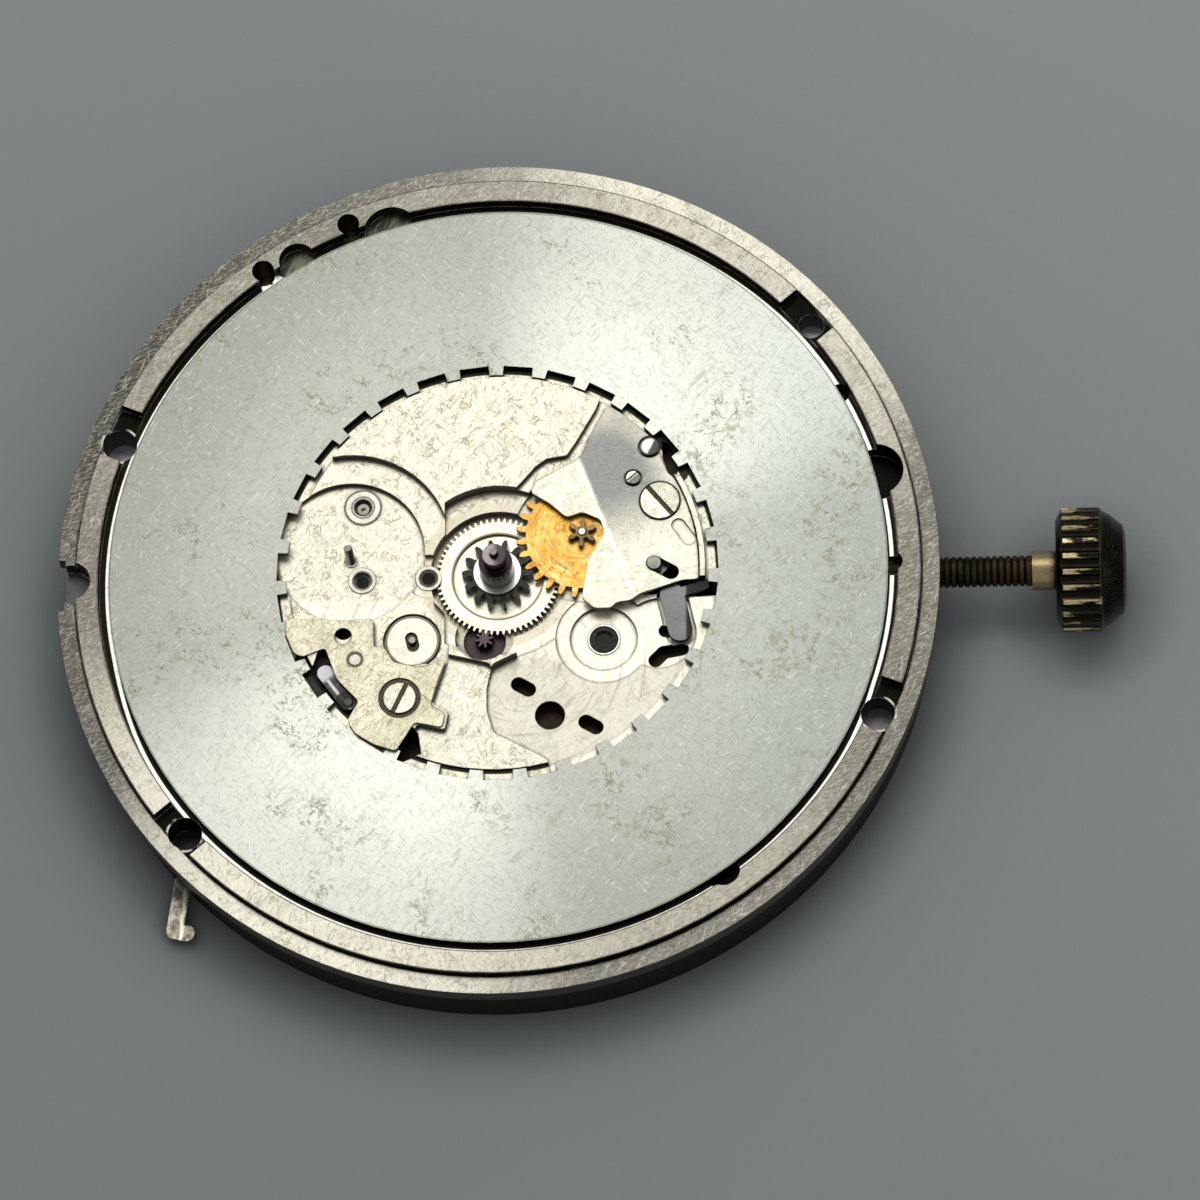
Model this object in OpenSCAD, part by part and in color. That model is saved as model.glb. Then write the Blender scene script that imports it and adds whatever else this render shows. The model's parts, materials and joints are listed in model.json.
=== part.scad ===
// Quartz watch movement with date ring, dial side up, shown without dial, hands and hour wheel.
// Millimetres. The origin is on the centre axis, in the plane that the dial rests on.
// +X runs along the winding stem to the crown, and +Z points to the dial.

/* [Rim] */
// Radius that fits the watch case
case_r = 12.8; // [12.6:0.05:13.4]
// Overhang of the flange past the case radius
flange_w = 0.2; // [0.1:0.05:0.4]
// Thickness of the flange
flange_t = 0.6; // [0.4:0.05:0.8]
// Step from the dial seat down to the flange
flange_drop = 0.25; // [0.15:0.05:0.3]
// Set-back of the dial seat from the case radius
seat_setback = 0.35; // [0.2:0.05:0.5]
// Width of the dial seat
seat_w = 0.66; // [0.6:0.02:0.8]
// Depth of the date channel below the dial seat
channel_depth = 0.4; // [0.38:0.02:0.46]
// Height of the movement below the dial seat
plate_h = 2.9; // [2.88:0.02:3.4]
// Radius of the three large dial foot bores
foot_r = 0.5; // [0.35:0.01:0.55]
// Radius of the small dial foot bore
small_foot_r = 0.38; // [0.3:0.01:0.5]
// Distance of the dial foot bores inside the case radius
foot_inset = 0.75; // [0.7:0.02:0.85]
// Depth of the dial foot bores below their slots
foot_depth = 1.2; // [0.8:0.1:1.4]
// Depth of the slots that the dial feet lie in
foot_slot_depth = 0.4; // [0.3:0.02:0.5]
// Length of the slots that the dial feet lie in
foot_slot_l = 1.65; // [1.3:0.05:2]

/* [Date ring] */
// Width of the gap round the outside of the date ring
ring_side_gap = 0.3; // [0.1:0.02:0.4]
// Thickness of the date ring
ring_t = 0.21; // [0.16:0.01:0.22]
// Height that the date ring floats above its channel
ring_float = 0.04; // [0.02:0.01:0.05]
// Width of the gaps between the inner teeth
ring_notch_w = 0.87; // [0.7:0.01:0.95]
// Depth of the gaps between the inner teeth
ring_notch_d = 0.28; // [0.2:0.01:0.35]

/* [Centre island] */
// Radius of the raised centre of the plate
island_r = 6.13; // [6:0.02:6.3]
// Gap between the island and the teeth of the date ring
island_gap = 0.09; // [0.06:0.01:0.14]
// Depth of the top block's face below the dial seat
block_drop = 0.06; // [0.05:0.01:0.13]
// Depth of the seat under the setting lever jumper
pad_drop = 0.27; // [0.25:0.01:0.3]
// Depth of the ledge round the wheels
ledge_drop = 0.5; // [0.42:0.02:0.56]
// Depth of the pocket of the missing date wheel
date_pocket_drop = 0.56; // [0.54:0.01:0.6]
// Radius of the pocket of the missing date wheel
date_pocket_r = 2.21; // [2:0.05:2.4]
// Radius of the wall round the pocket of the missing date wheel
date_wall_r = 3; // [2.9:0.05:3.1]
// Radius of the wall round the centre wheels
centre_wall_r = 2.66; // [2.5:0.02:2.7]
// Depth of the milled pocket at the lower right
milled_drop = 0.44; // [0.34:0.02:0.56]
// Width of the wall between the setting lever jumper and the date ring
rim_wall = 0.16; // [0.1:0.02:0.25]

/* [Gear train] */
// Distance from the centre to the third wheel
third_dist = 2.01; // [1.95:0.01:2.1]
// Direction of the third wheel, in degrees
third_dir = 258.5; // [250:0.5:262]
// Distance from the centre to the minute wheel
minute_dist = 2.76; // [2.7:0.01:2.85]
// Direction of the minute wheel, in degrees
minute_dir = 25; // [23:0.5:27]
// Distance from the centre to the intermediate wheel
inter_dist = 2.16; // [2.1:0.01:2.2]
// Direction of the intermediate wheel, in degrees
inter_dir = 103.4; // [100:0.5:106]
// Distance from the intermediate wheel to the rotor
rotor_dist = 1.89; // [1.85:0.01:1.95]
// Thickness of the rim of the driving wheel
drive_t = 0.2; // [0.16:0.01:0.22]
// Thickness of the minute wheel
minute_t = 0.16; // [0.12:0.01:0.17]
// Thickness of the hidden train wheels
wheel_t = 0.12; // [0.08:0.01:0.13]
// Radius of the cannon pinion where the hour wheel runs
hour_seat_r = 0.5; // [0.47:0.01:0.55]
// Radius of the cannon pinion where the minute hand is pressed on
hand_seat_r = 0.34; // [0.25:0.01:0.38]
// Height of the hour wheel's seat above the dial seat
hour_seat_h = 0.6; // [0.4:0.05:0.8]
// Length of the minute hand's seat
hand_seat_l = 0.6; // [0.4:0.05:0.8]
// Radius of the pivot that carries the seconds hand
seconds_r = 0.1; // [0.08:0.01:0.11]
// Length of the seconds pivot above the cannon pinion
seconds_l = 0.25; // [0.2:0.05:0.5]
// Radius of the hole through the centre tube
tube_bore_r = 0.13; // [0.12:0.01:0.15]
// Radius of the centre tube
tube_r = 0.28; // [0.24:0.01:0.3]
// Radius of the rotor magnet
magnet_r = 0.6; // [0.5:0.01:0.7]
// Thickness of the rotor magnet
magnet_t = 0.4; // [0.3:0.02:0.5]

/* [Winding stem and crown] */
// Depth of the stem's axis below the dial seat
stem_drop = 1.05; // [1.03:0.01:1.05]
// Radius of the stem's guide and thread
stem_r = 0.45; // [0.4:0.01:0.46]
// Width of the stem's square
square_w = 0.4; // [0.36:0.01:0.42]
// Radius of the stem's inner pivot
stem_pivot_r = 0.2; // [0.15:0.01:0.22]
// Travel of the stem when the crown is pulled
pull = 0.5; // [0.4:0.05:0.5]
// Length of bare thread between the flange and the crown's neck
thread_l = 2.7; // [2:0.1:3.5]
// Pitch of the thread
thread_pitch = 0.2; // [0.15:0.01:0.3]
// Depth of the thread
thread_d = 0.07; // [0.04:0.01:0.1]
// Radius of the crown's brass neck
neck_r = 0.57; // [0.52:0.01:0.7]
// Length of the crown's brass neck
neck_l = 0.7; // [0.4:0.05:1.2]
// Radius of the crown
crown_r = 1.82; // [1.5:0.01:1.82]
// Length of the crown's fluted part
crown_l = 1.3; // [1:0.05:2]
// Length of the crown's tapered cap
cap_l = 0.75; // [0.4:0.05:1]
// Radius of the crown's end face
cap_r = 1.05; // [0.7:0.05:1.3]
// Radius of the grooves round the crown
flute_r = 0.17; // [0.1:0.01:0.2]
// Radius of the sliding pinion
clutch_r = 0.5; // [0.46:0.01:0.54]
// Length of the sliding pinion
clutch_l = 1.2; // [1.1:0.05:1.3]

/* [Cover plates] */
// Thickness of the setting lever jumper
jumper_t = 0.14; // [0.1:0.01:0.14]
// Thickness of the date keeper plate
keeper_t = 0.12; // [0.08:0.01:0.12]
// Gap between the date ring and the keeper plate over it
keeper_gap = 0.02; // [0.01:0.01:0.04]
// Radius of the jumper screw's head
jumper_screw_r = 0.57; // [0.45:0.01:0.6]
// Radius of the keeper screw's head
keeper_screw_r = 0.47; // [0.4:0.01:0.52]
// Width of the slots in the screws
slot_w = 0.13; // [0.08:0.01:0.18]
// Thickness of the levers
lever_t = 0.15; // [0.1:0.01:0.16]
// Radius of the corrector disc
disc_r = 0.8; // [0.7:0.01:0.82]
// Thickness of the corrector disc
disc_t = 0.15; // [0.1:0.01:0.2]

/* [Electric parts] */
// Radius of the battery
battery_r = 3.95; // [3.4:0.05:4]
// Height of the battery
battery_h = 1.65; // [1.4:0.05:1.8]
// Direction of the battery, in degrees
battery_dir = 204; // [200:1:205]
// Gap round the battery
battery_gap = 0.1; // [0.05:0.01:0.15]
// Thickness of the battery strap
strap_t = 0.1; // [0.06:0.01:0.12]
// Thickness of the battery contact
contact_t = 0.08; // [0.05:0.01:0.08]
// Thickness of the insulator
insulator_t = 0.05; // [0.03:0.01:0.05]
// Length of the coil winding
coil_l = 7.6; // [6:0.1:8]
// Radius of the coil winding
coil_r = 0.72; // [0.6:0.01:0.74]
// Distance of the coil inside the case radius
coil_inset = 4.2; // [4.1:0.05:4.4]
// Thickness of the coil core and of the stator
core_t = 0.3; // [0.2:0.01:0.3]
// Width of the coil core
core_w = 0.8; // [0.6:0.02:0.9]
// Thickness of the circuit board
board_t = 0.2; // [0.12:0.01:0.25]
// Radius of the quartz crystal's can
crystal_r = 0.6; // [0.5:0.01:0.65]
// Length of the quartz crystal's can
crystal_l = 4.6; // [4:0.1:5]
// Thickness of the train bridge
bridge_t = 0.2; // [0.12:0.01:0.22]

/* [Hidden] */

nickel = [0.80, 0.77, 0.70];
steel = [0.62, 0.64, 0.65];
dark_steel = [0.20, 0.18, 0.16];
brass = [0.80, 0.64, 0.32];
gold = [0.93, 0.62, 0.16];
copper = [0.78, 0.38, 0.20];

round_fn = 96;
small_fn = 40;
run_gap = 0.02;

flange_r = case_r + flange_w;
seat_r = case_r - seat_setback;
seat_inner_r = seat_r - seat_w;
ring_r = seat_inner_r - ring_side_gap;
ring_tip_r = island_r + island_gap;
ring_root_r = ring_tip_r + ring_notch_d;
// What lies beside the date ring was placed on an island of this radius, and keeps its distance from the edge
placed_island_r = 6.13;
function by_edge(p) = p * (1 + (island_r - placed_island_r) / norm(p));
channel_z = -channel_depth;
ring_z = channel_z + ring_float;
ring_top = ring_z + ring_t;
keeper_z = ring_top + keeper_gap;
block_z = -block_drop;
pad_z = -pad_drop;
jumper_top = pad_z + jumper_t;
ledge_z = -ledge_drop;
left_z = ledge_z + 0.15;
boss_z = ledge_z - 0.04;
pocket_step = 0.1;
setting_floor_z = -milled_drop - 2 * pocket_step;
back_z = -plate_h;
foot_axis_r = case_r - foot_inset;
foot_dirs = [39.5, 159, 221, 337.5];
foot_slot_dirs = [40.6, 157.8, 220.5, 338.4];
seat_groove_w = 0.06;
seat_groove_d = 0.12;
// Each bore ends at its own level, as what lies behind it on the back allows
foot_depths = [foot_depth - 0.3, foot_depth, foot_depth - 0.1, foot_depth - 0.2];

// Levels of the wheels on the dial side, from the bottom up
drive_z = -0.8;
drive_top = drive_z + drive_t;
wheel_well_z = drive_z - 0.06;
minute_z = drive_top + 0.08;
minute_top = minute_z + minute_t;
minute_floor_z = minute_z - 0.07;
minute_pinion_top = minute_top + 0.24;
web_top = drive_z + drive_t / 2;
drive_recess_r = 1.33;
leaf_top = -0.3;
shoulder_top = leaf_top + 0.08;
cannon_top = hour_seat_h + hand_seat_l;
tube_top = hour_seat_h - 0.56;
// The seconds shaft is relieved over this length below its upper pivot
relief_l = 0.6;

// Levels of the wheels under the plate, from the top down
train_z = -1.3;
third_z = train_z - 0.08 - wheel_t;
seconds_z = third_z - 0.13 - wheel_t;
inter_z = seconds_z - 0.41 - wheel_t;
stator_z = train_z - 2 * core_t - 0.05;
bridge_top = inter_z - 0.12;
bridge_z = bridge_top - bridge_t;
pivot_r = 0.07;
arbor_r = 0.12;
rotor_well_r = 1.5;
stator_r = 1.35;
bridge_half_w = 1.9;
bridge_lug_r = 0.85;

// Tooth counts. The seconds wheel turns the centre at a sixtieth of its speed
cannon_leaves = 14;
minute_teeth = 28;
minute_leaves = 6;
drive_teeth = 64;
third_leaves = 8;
third_teeth = 60;
seconds_leaves = 8;
seconds_teeth = 40;
inter_leaves = 8;
inter_teeth = 36;
rotor_leaves = 6;

motion_m = 2 * minute_dist / (cannon_leaves + minute_teeth);
drive_m = 2 * third_dist / (drive_teeth + third_leaves);
third_m = 2 * third_dist / (third_teeth + seconds_leaves);
seconds_m = 2 * inter_dist / (seconds_teeth + inter_leaves);
inter_m = 2 * rotor_dist / (inter_teeth + rotor_leaves);

function polar(r, a) = [r * cos(a), r * sin(a)];
third_at = polar(third_dist, third_dir);
minute_at = polar(minute_dist, minute_dir);
inter_at = polar(inter_dist, inter_dir);
rotor_dir = inter_dir + 2;
rotor_at = inter_at + polar(rotor_dist, rotor_dir);
function tip_r(teeth, m) = m * (teeth / 2 + addendum);

// Places on the dial side
date_pocket_at = [-4.36, 0.73];
boss_at = [-2.05, -0.05];
bushing_spots = [[-4.01, 2.24], [-4.01, -0.07], [-2.05, -0.05], [3.12, -2.05]];
bushing_sizes = [[0.55, 0.24], [0.4, 0.26], [0.38, 0.27], [0.47, 0.3]];
minute_stud_r = 0.1;
minute_foot_r = 0.16;
stud_at = [-4.34, 0.52];
stud_lean = [-27, -7, 0];
disc_at = [-2.5, -2.08];
jumper_screw_at = by_edge([4.8, 2.1]);
keeper_screw_at = [-2.83, -3.96];
setting_pocket_at = [3.12, -2.05];
setting_pocket_r = 1.42;
corner_pocket_at = [4.75, -1.95];
steady_at = by_edge([4.01, 2.84]);
steady_r = 0.2;
seat_sink = 0.05;
jumper_post_at = by_edge([4.5, 3.82]);
keeper_pin_at = [-4.15, -2.73];
keeper_hole_at = [-4.51, -2.01];
keeper_hole_r = 0.26;
date_pivot_at = by_edge([-4.35, -4]);
date_beak_at = by_edge([-5.03, -3.08]);

// Setting lever: its pin lies in the stem's groove and moves with it
lever_pivot_at = by_edge([5.5, 1.1]);
lever_pin_at = [4.62, 0.14];
lever_arm = norm(lever_pin_at - lever_pivot_at);
lever_end = -acos((lever_pin_at[0] - lever_pivot_at[0] + pull) / lever_arm);
lever_end_at = lever_pivot_at + polar(lever_arm, lever_end);
lever_pin_r = 0.2;
lever_z = -0.66;
lever_arm_r = 0.3;
lever_boss_r = 0.34;
stud_r = 0.14;

// Stem, along X from its inner pivot to the crown
stem_z = -stem_drop;
stem_in_x = 3.2;
groove_x = lever_pin_at[0] - stud_r - 0.06;
groove_w = 2 * stud_r + 0.12;
collar_l = 0.2;
collar_r = 0.3;
clutch_x = 5.6;
clutch_groove_x = clutch_x + 0.3;
clutch_groove_w = 0.4;
square_x = 8.6;
well_x0 = 4;
well_x1 = clutch_x + clutch_l + 0.15;
well_half_w = 0.72;
well_d = 0.7;
neck_x = flange_r + thread_l;
crown_bore_l = 1;
flute_count = 24;

// Yoke, the bar at the right of the island, and its finger in the sliding pinion's groove
yoke_pivot_at = by_edge([5.38, -1.88]);
yoke_top_at = [5.14, -0.8];
yoke_finger_at = [clutch_groove_x + clutch_groove_w / 2, -0.5];
finger_r = 0.1;
finger_arm_r = 0.14;
finger_slot = [[yoke_top_at[0], yoke_finger_at[1] - 0.33], [6.45, yoke_finger_at[1] + 0.19]];
yoke_r = 0.36;
yoke_z = -0.45;

// Electric parts on the back
battery_wall = 0.55;
battery_at = polar(case_r - battery_r - battery_wall, battery_dir);
head_h = 0.22;
strap_z = back_z + head_h;
battery_z = strap_z + strap_t;
contact_z = battery_z + battery_h;
insulator_z = contact_z + contact_t;
battery_well_z = insulator_z + insulator_t;
strap_band_r = battery_r - 0.55;
strap_band_w = 1.2;
strap_tab_dir = 252;
strap_lug_dir = 338;
tab_r = 0.25;
tab_bend_at = polar(case_r - 0.05, 222.7);
tab_end_at = polar(case_r + 1.16, 226.6);
tab_foot_at = tab_end_at + [0.34, -0.08];
strap_screw_at = battery_at + polar(battery_r + 1.25, strap_lug_dir);
coil_y = case_r - coil_inset;
coil_x = -1.5;
core_z = train_z - core_t - 0.05;
coil_z = core_z + core_t / 2;
core_lug = 0.95;
core_hole_r = 0.2;
core_end_l = coil_x - coil_l / 2 - core_lug;
core_end_r = coil_x + coil_l / 2 + core_lug;
arm_xs = [core_end_l + core_lug / 2, core_end_r - core_lug / 2];
arm_y = coil_y - 1.7;
board_outer_r = case_r - 0.7;
board_inner_r = 7.6;
board_z = -2.3;
board_top = board_z + board_t;
board_from = -100;
board_to = 52;
crystal_dir = -42;
crystal_at_r = board_outer_r - 0.95;
chip_dir = -72;
chip_at_r = 9.9;
chip_r = 1.15;
chip_h = 0.4;
board_screw_dirs = [-92, 18];
board_screw_spots = [for (a = board_screw_dirs) polar(board_outer_r - 0.9, a)];
back_screw_r = 0.55;
back_shank_r = 0.28;
bridge_screw_spots = [[2.6, 3.1], [2.9, -2.9], [-3.3, 2]];

// Outlines on the dial side, corners only
block_edge = [[0.3, 2.3], [0.8, 2.86], [1.12, 3.24], [1.45, 3.48], [2.05, 3.58], [2.3, 3.96], [2.9, 5.01],
              [3.15, 5.7], [3.3, 7], [7, 7], [7, -0.86], [2.2, -0.86], [1.2, 1]];
jumper_outline = [for (p = [[3.25, 5.18], [4.21, 4.55], [4.7, 4.3], [4.82, 3.5], [5.02, 2.98]]) by_edge(p),
                  for (a = [28.5:-4.5:1]) polar(island_r - rim_wall - 0.04, a),
                  by_edge([5.93, -0.38]), by_edge([5.45, -0.4]), by_edge([4.84, -0.6]), [4.2, -0.8],
                  [3.95, -1], [3.5, -1.06],
                  [3.35, -1.23], [2.86, -1.23], [2.51, -0.9], [2.56, -0.4], [2.66, 0.22], [2.95, 0.75],
                  [3.16, 1.12], [3.05, 1.55], [2.51, 1.8], [2.05, 1.64], [1.51, 2.12], [0.98, 2.45],
                  [1.15, 2.8], [2.01, 3.27], [2.46, 3.52], [2.65, 4], [2.91, 4.52]];
keeper_outline = [[-6.2, -1.4], [-4.48, -1.51], [-3.63, -1.46], [-3.6, -2.38], [-3.33, -2.33],
                  [-3.02, -2.85], [-2.18, -3.03], [-1.48, -2.8], [-1.73, -3.48], [-1.93, -4.23],
                  [-1.5, -4.45], [-1.58, -4.9], [-2.38, -4.72], [-2.93, -5.6], [-3.58, -5.38],
                  [-4.12, -5.03], [-4.36, -4.63], [-4.03, -4.03], [-4.68, -3.33], [-5.03, -2.35],
                  [-5.7, -2.62], [-5.95, -2.5], [-6.2, -1.9]];
ground_outline = [[-1.45, -2.6], [-0.2, -2.9], [0.2, -4.3], [0.5, -5], [1.8, -5.7], [2, -6.5],
                  [-3.2, -6.5], [-2.3, -4.75], [-1.5, -4.95], [-1.4, -4.4], [-1.9, -4.1], [-1.5, -2.9]];
milled_outline = [[-0.15, -2.95], [-0.3, -3.6], [-0.3, -4.3], [-0.1, -5], [0.7, -5.4], [1.5, -5.85],
                  [1.6, -6.5], [6.5, -6.5], [6.5, -0.4], [2.5, -0.8], [1.2, -2.3]];
dark_hole_outline = [[-2.3, -4.95], [-2.2, -5.6], [-2.85, -5.85], [-3, -5.35], [-2.6, -4.75]];
beside_post_outline = [[4.85, 4.1], [5.05, 4], [5.45, 3.3], [5.3, 2.9], [5.08, 2.9], [4.88, 3.5]];

// Scallops, holes and notches in the dial seat: direction, radius, bottom and distance from the centre
seat_cuts = [[121, 0.56, -0.5, 11.66], [106.5, 0.85, -0.5, 11.28], [14.5, 0.8, -0.9, 11.55],
             [305, 0.5, -0.7, 11.5], [126, 0.33, -1.4, 11.98], [112, 0.33, -1.4, 12.02],
             [28.5, 0.3, -0.7, 11.5], [0, 0.3, -0.6, 11.62]];

// Corners of an outline, each rounded by a short curve that starts at most r from the corner
function along(a, b, d) = a + (b - a) * min(0.45, d / norm(b - a));
function bend(a, b, c, t) = (1 - t) * (1 - t) * a + 2 * t * (1 - t) * b + t * t * c;
function rounded(p, r) = [for (i = [0:len(p) - 1]) let (
    b = p[i], a = along(b, p[(i + len(p) - 1) % len(p)], r), c = along(b, p[(i + 1) % len(p)], r))
    for (t = [0:0.25:1]) bend(a, b, c, t)];

// One tooth after another, each with six corners. The first tooth points along phase
addendum = 0.95;
dedendum = 1.25;
tooth_share = 0.86;
function flank(r, m, half, a) = [polar(r - dedendum * m, a - half * 1.15), polar(r, a - half),
                                 polar(r + addendum * m, a - half * 0.42)];
function other_flank(r, m, half, a) = [polar(r + addendum * m, a + half * 0.42), polar(r, a + half),
                                       polar(r - dedendum * m, a + half * 1.15)];
function tooth(r, m, half, a) = concat(flank(r, m, half, a), other_flank(r, m, half, a));
function gear(teeth, m, phase) = [for (i = [0:teeth - 1])
    each tooth(teeth * m / 2, m, 90 / teeth * tooth_share, phase + i * 360 / teeth)];

module at(p) {
    translate([p[0], p[1], 0]) children();
}

module disc(r, z0, z1, fn = round_fn) {
    translate([0, 0, z0]) cylinder(r = r, h = z1 - z0, $fn = fn);
}

module plate_of(z0, z1) {
    translate([0, 0, z0]) linear_extrude(z1 - z0) children();
}

// A bar with round ends. Its sides lie just inside the ends' width, so they cross the circles cleanly
module capsule(a, b, r) {
    d = b - a;
    side = 0.998 * r;
    translate(a) circle(r = r, $fn = small_fn);
    translate(b) circle(r = r, $fn = small_fn);
    translate(a) rotate(atan2(d[1], d[0])) translate([0, -side]) square([norm(d), 2 * side]);
}

module wheel(teeth, m, phase, z0, z1) {
    plate_of(z0, z1) polygon(gear(teeth, m, phase));
}

module sector(r, from, to) {
    polygon(concat([[0, 0]], [for (k = [0:24]) polar(r, from + (to - from) * k / 24)]));
}

// A screw whose head lies on z, with its slot in the face that looks along +Z
module screw(z, head_r, head_h, shank_r, shank_l, angle) {
    difference() {
        union() {
            disc(head_r, z, z + head_h, small_fn);
            disc(shank_r, z - shank_l, z, small_fn);
        }
        rotate(angle) translate([-head_r - 1, -slot_w / 2, z + head_h * 0.45])
            cube([2 * head_r + 2, slot_w, head_h]);
    }
}

// The same screw seen from the back
module back_screw(z, head_h, shank_l, angle) {
    translate([0, 0, z]) mirror([0, 0, 1]) screw(0, back_screw_r, head_h, back_shank_r, shank_l, angle);
}

module jumper_2d() {
    intersection() {
        polygon(rounded(jumper_outline, 0.12));
        circle(r = island_r - 0.01, $fn = round_fn);
    }
}

module keeper_2d() {
    polygon(rounded(keeper_outline, 0.12));
}

// Ground round the pocket of the missing date wheel and round the corrector disc
module left_ground_2d() {
    difference() {
        union() {
            translate(date_pocket_at) circle(r = date_wall_r, $fn = round_fn);
            polygon([[-3.7, -1.2], [-1.9, -0.9], [-1.3, -1.6], [-1.45, -2.9], [-3.7, -2.9]]);
        }
        keeper_2d();
    }
}

// Ledge round the centre wheels
module ledge_2d() {
    intersection() {
        circle(r = centre_wall_r, $fn = round_fn);
        translate([-1.55, -3]) square([6, 6]);
    }
}

// Bay of the setting lever jumper
module bay_2d() {
    intersection() {
        union() {
            circle(r = island_r - rim_wall, $fn = round_fn);
            sector(island_r + 1, 32, 62);
        }
        polygon(block_edge);
    }
}

module keyless_well() {
    roof_x = island_r - rim_wall - 0.04;
    translate([well_x0, -well_half_w, stem_z - well_d])
        cube([roof_x - well_x0, 2 * well_half_w, well_d - stem_z]);
    translate([roof_x - 0.1, -well_half_w, stem_z - well_d])
        cube([well_x1 - roof_x + 0.1, 2 * well_half_w, well_d + clutch_r + 0.04]);
    plate_of(lever_z - 0.04, 0) for (p = [lever_pin_at, (lever_pin_at + lever_end_at) / 2, lever_end_at])
        capsule(lever_pivot_at, p, lever_boss_r + 0.03);
    plate_of(yoke_z - lever_t - 0.05, 0) {
        capsule(yoke_pivot_at, yoke_top_at, yoke_r + 0.1);
        translate(finger_slot[0]) square(finger_slot[1] - finger_slot[0]);
    }
    translate([well_x1 - 0.1, 0, stem_z]) rotate([0, 90, 0])
        cylinder(r = stem_r + 0.03, h = flange_r, $fn = small_fn);
    translate([stem_in_x - 0.15, 0, stem_z]) rotate([0, 90, 0])
        cylinder(r = stem_pivot_r + run_gap, h = 1, $fn = small_fn);
}

module dial_side_cuts() {
    plate_of(left_z, 0.01) left_ground_2d();
    plate_of(ledge_z, 0.01) ledge_2d();
    at(boss_at) disc(0.68, boss_z, 0.01, small_fn);
    plate_of(keeper_z, 0.01) keeper_2d();
    at(date_pocket_at) disc(date_pocket_r, -date_pocket_drop, 0);
    plate_of(pad_z, 0.01) bay_2d();
    plate_of(-0.3, 0.01) difference() {
        polygon(rounded(ground_outline, 0.1));
        keeper_2d();
    }
    plate_of(-milled_drop, 0.01) polygon(rounded(milled_outline, 0.15));
    at(setting_pocket_at) {
        disc(setting_pocket_r, -milled_drop - pocket_step, 0, small_fn);
        disc(1, setting_floor_z, 0, small_fn);
    }
    at(corner_pocket_at) disc(1.1, -milled_drop - pocket_step, 0, small_fn);
    // Wells of the centre wheels
    disc(2, wheel_well_z, 0);
    at(third_at) {
        disc(0.85, wheel_well_z, 0, small_fn);
        disc(0.62, wheel_well_z - 0.1, 0, small_fn);
        disc(arbor_r + run_gap, -2, 0, small_fn);
    }
    at(minute_at) disc(tip_r(minute_teeth, motion_m) + 0.1, minute_floor_z, 0);
    at(disc_at) disc(disc_r + 0.06, ledge_z - 0.05, 0, small_fn);
    at(keeper_hole_at + [0, 0.2]) disc(keeper_hole_r, keeper_z - 0.4, 0, small_fn);
    // Slots and holes of the milled pocket
    at([1.55, -4.44]) disc(0.44, -1, 0, small_fn);
    at([4.93, -1.84]) disc(0.2, -1, 0, small_fn);
    plate_of(-1, 0) {
        for (p = [[0.77, -3.54], [2.75, -4.75]]) capsule(p + polar(0.17, 150), p + polar(0.17, -30), 0.22);
        capsule([4.64, -2.76], [4.88, -2.52], 0.21);
        capsule([4.88, -2.52], [5.42, -2.42], 0.2);
        polygon(beside_post_outline);
        polygon(dark_hole_outline);
    }
    // Bay of the date jumper
    plate_of(channel_z - 0.02, 0.01) {
        capsule(date_pivot_at, date_beak_at, 0.42);
        capsule(date_pivot_at + [-0.35, -0.25], date_beak_at + [-0.5, -0.3], 0.5);
        capsule(date_beak_at, date_beak_at + [0.15, 0.5], 0.4);
    }
}

module rim_cuts() {
    difference() {
        disc(seat_r + seat_groove_w, -flange_drop - seat_groove_d, 0.01);
        disc(seat_r, -1, 1);
    }
    for (k = [0:3]) {
        rotate(foot_slot_dirs[k]) translate([seat_inner_r - 0.1, -foot_slot_l / 2, -foot_slot_depth])
            cube([seat_r - seat_inner_r + 0.12, foot_slot_l, 1]);
        rotate(foot_dirs[k]) translate([foot_axis_r, 0, 0])
            disc(k == 0 ? small_foot_r : foot_r, -foot_slot_depth - foot_depths[k], 0.01, small_fn);
    }
    for (s = seat_cuts) rotate(s[0]) translate([s[3], 0, 0]) disc(s[1], s[2], 0.01, small_fn);
    // Notch through the flange, opposite the crown
    translate([-flange_r - 1, -0.95, -flange_t - flange_drop - 0.01]) cube([1.22, 1.6, 1]);
    translate([-case_r + 0.2, -0.1, 0]) disc(0.6, -flange_t - flange_drop - 0.01, 0.01, small_fn);
}

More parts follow.
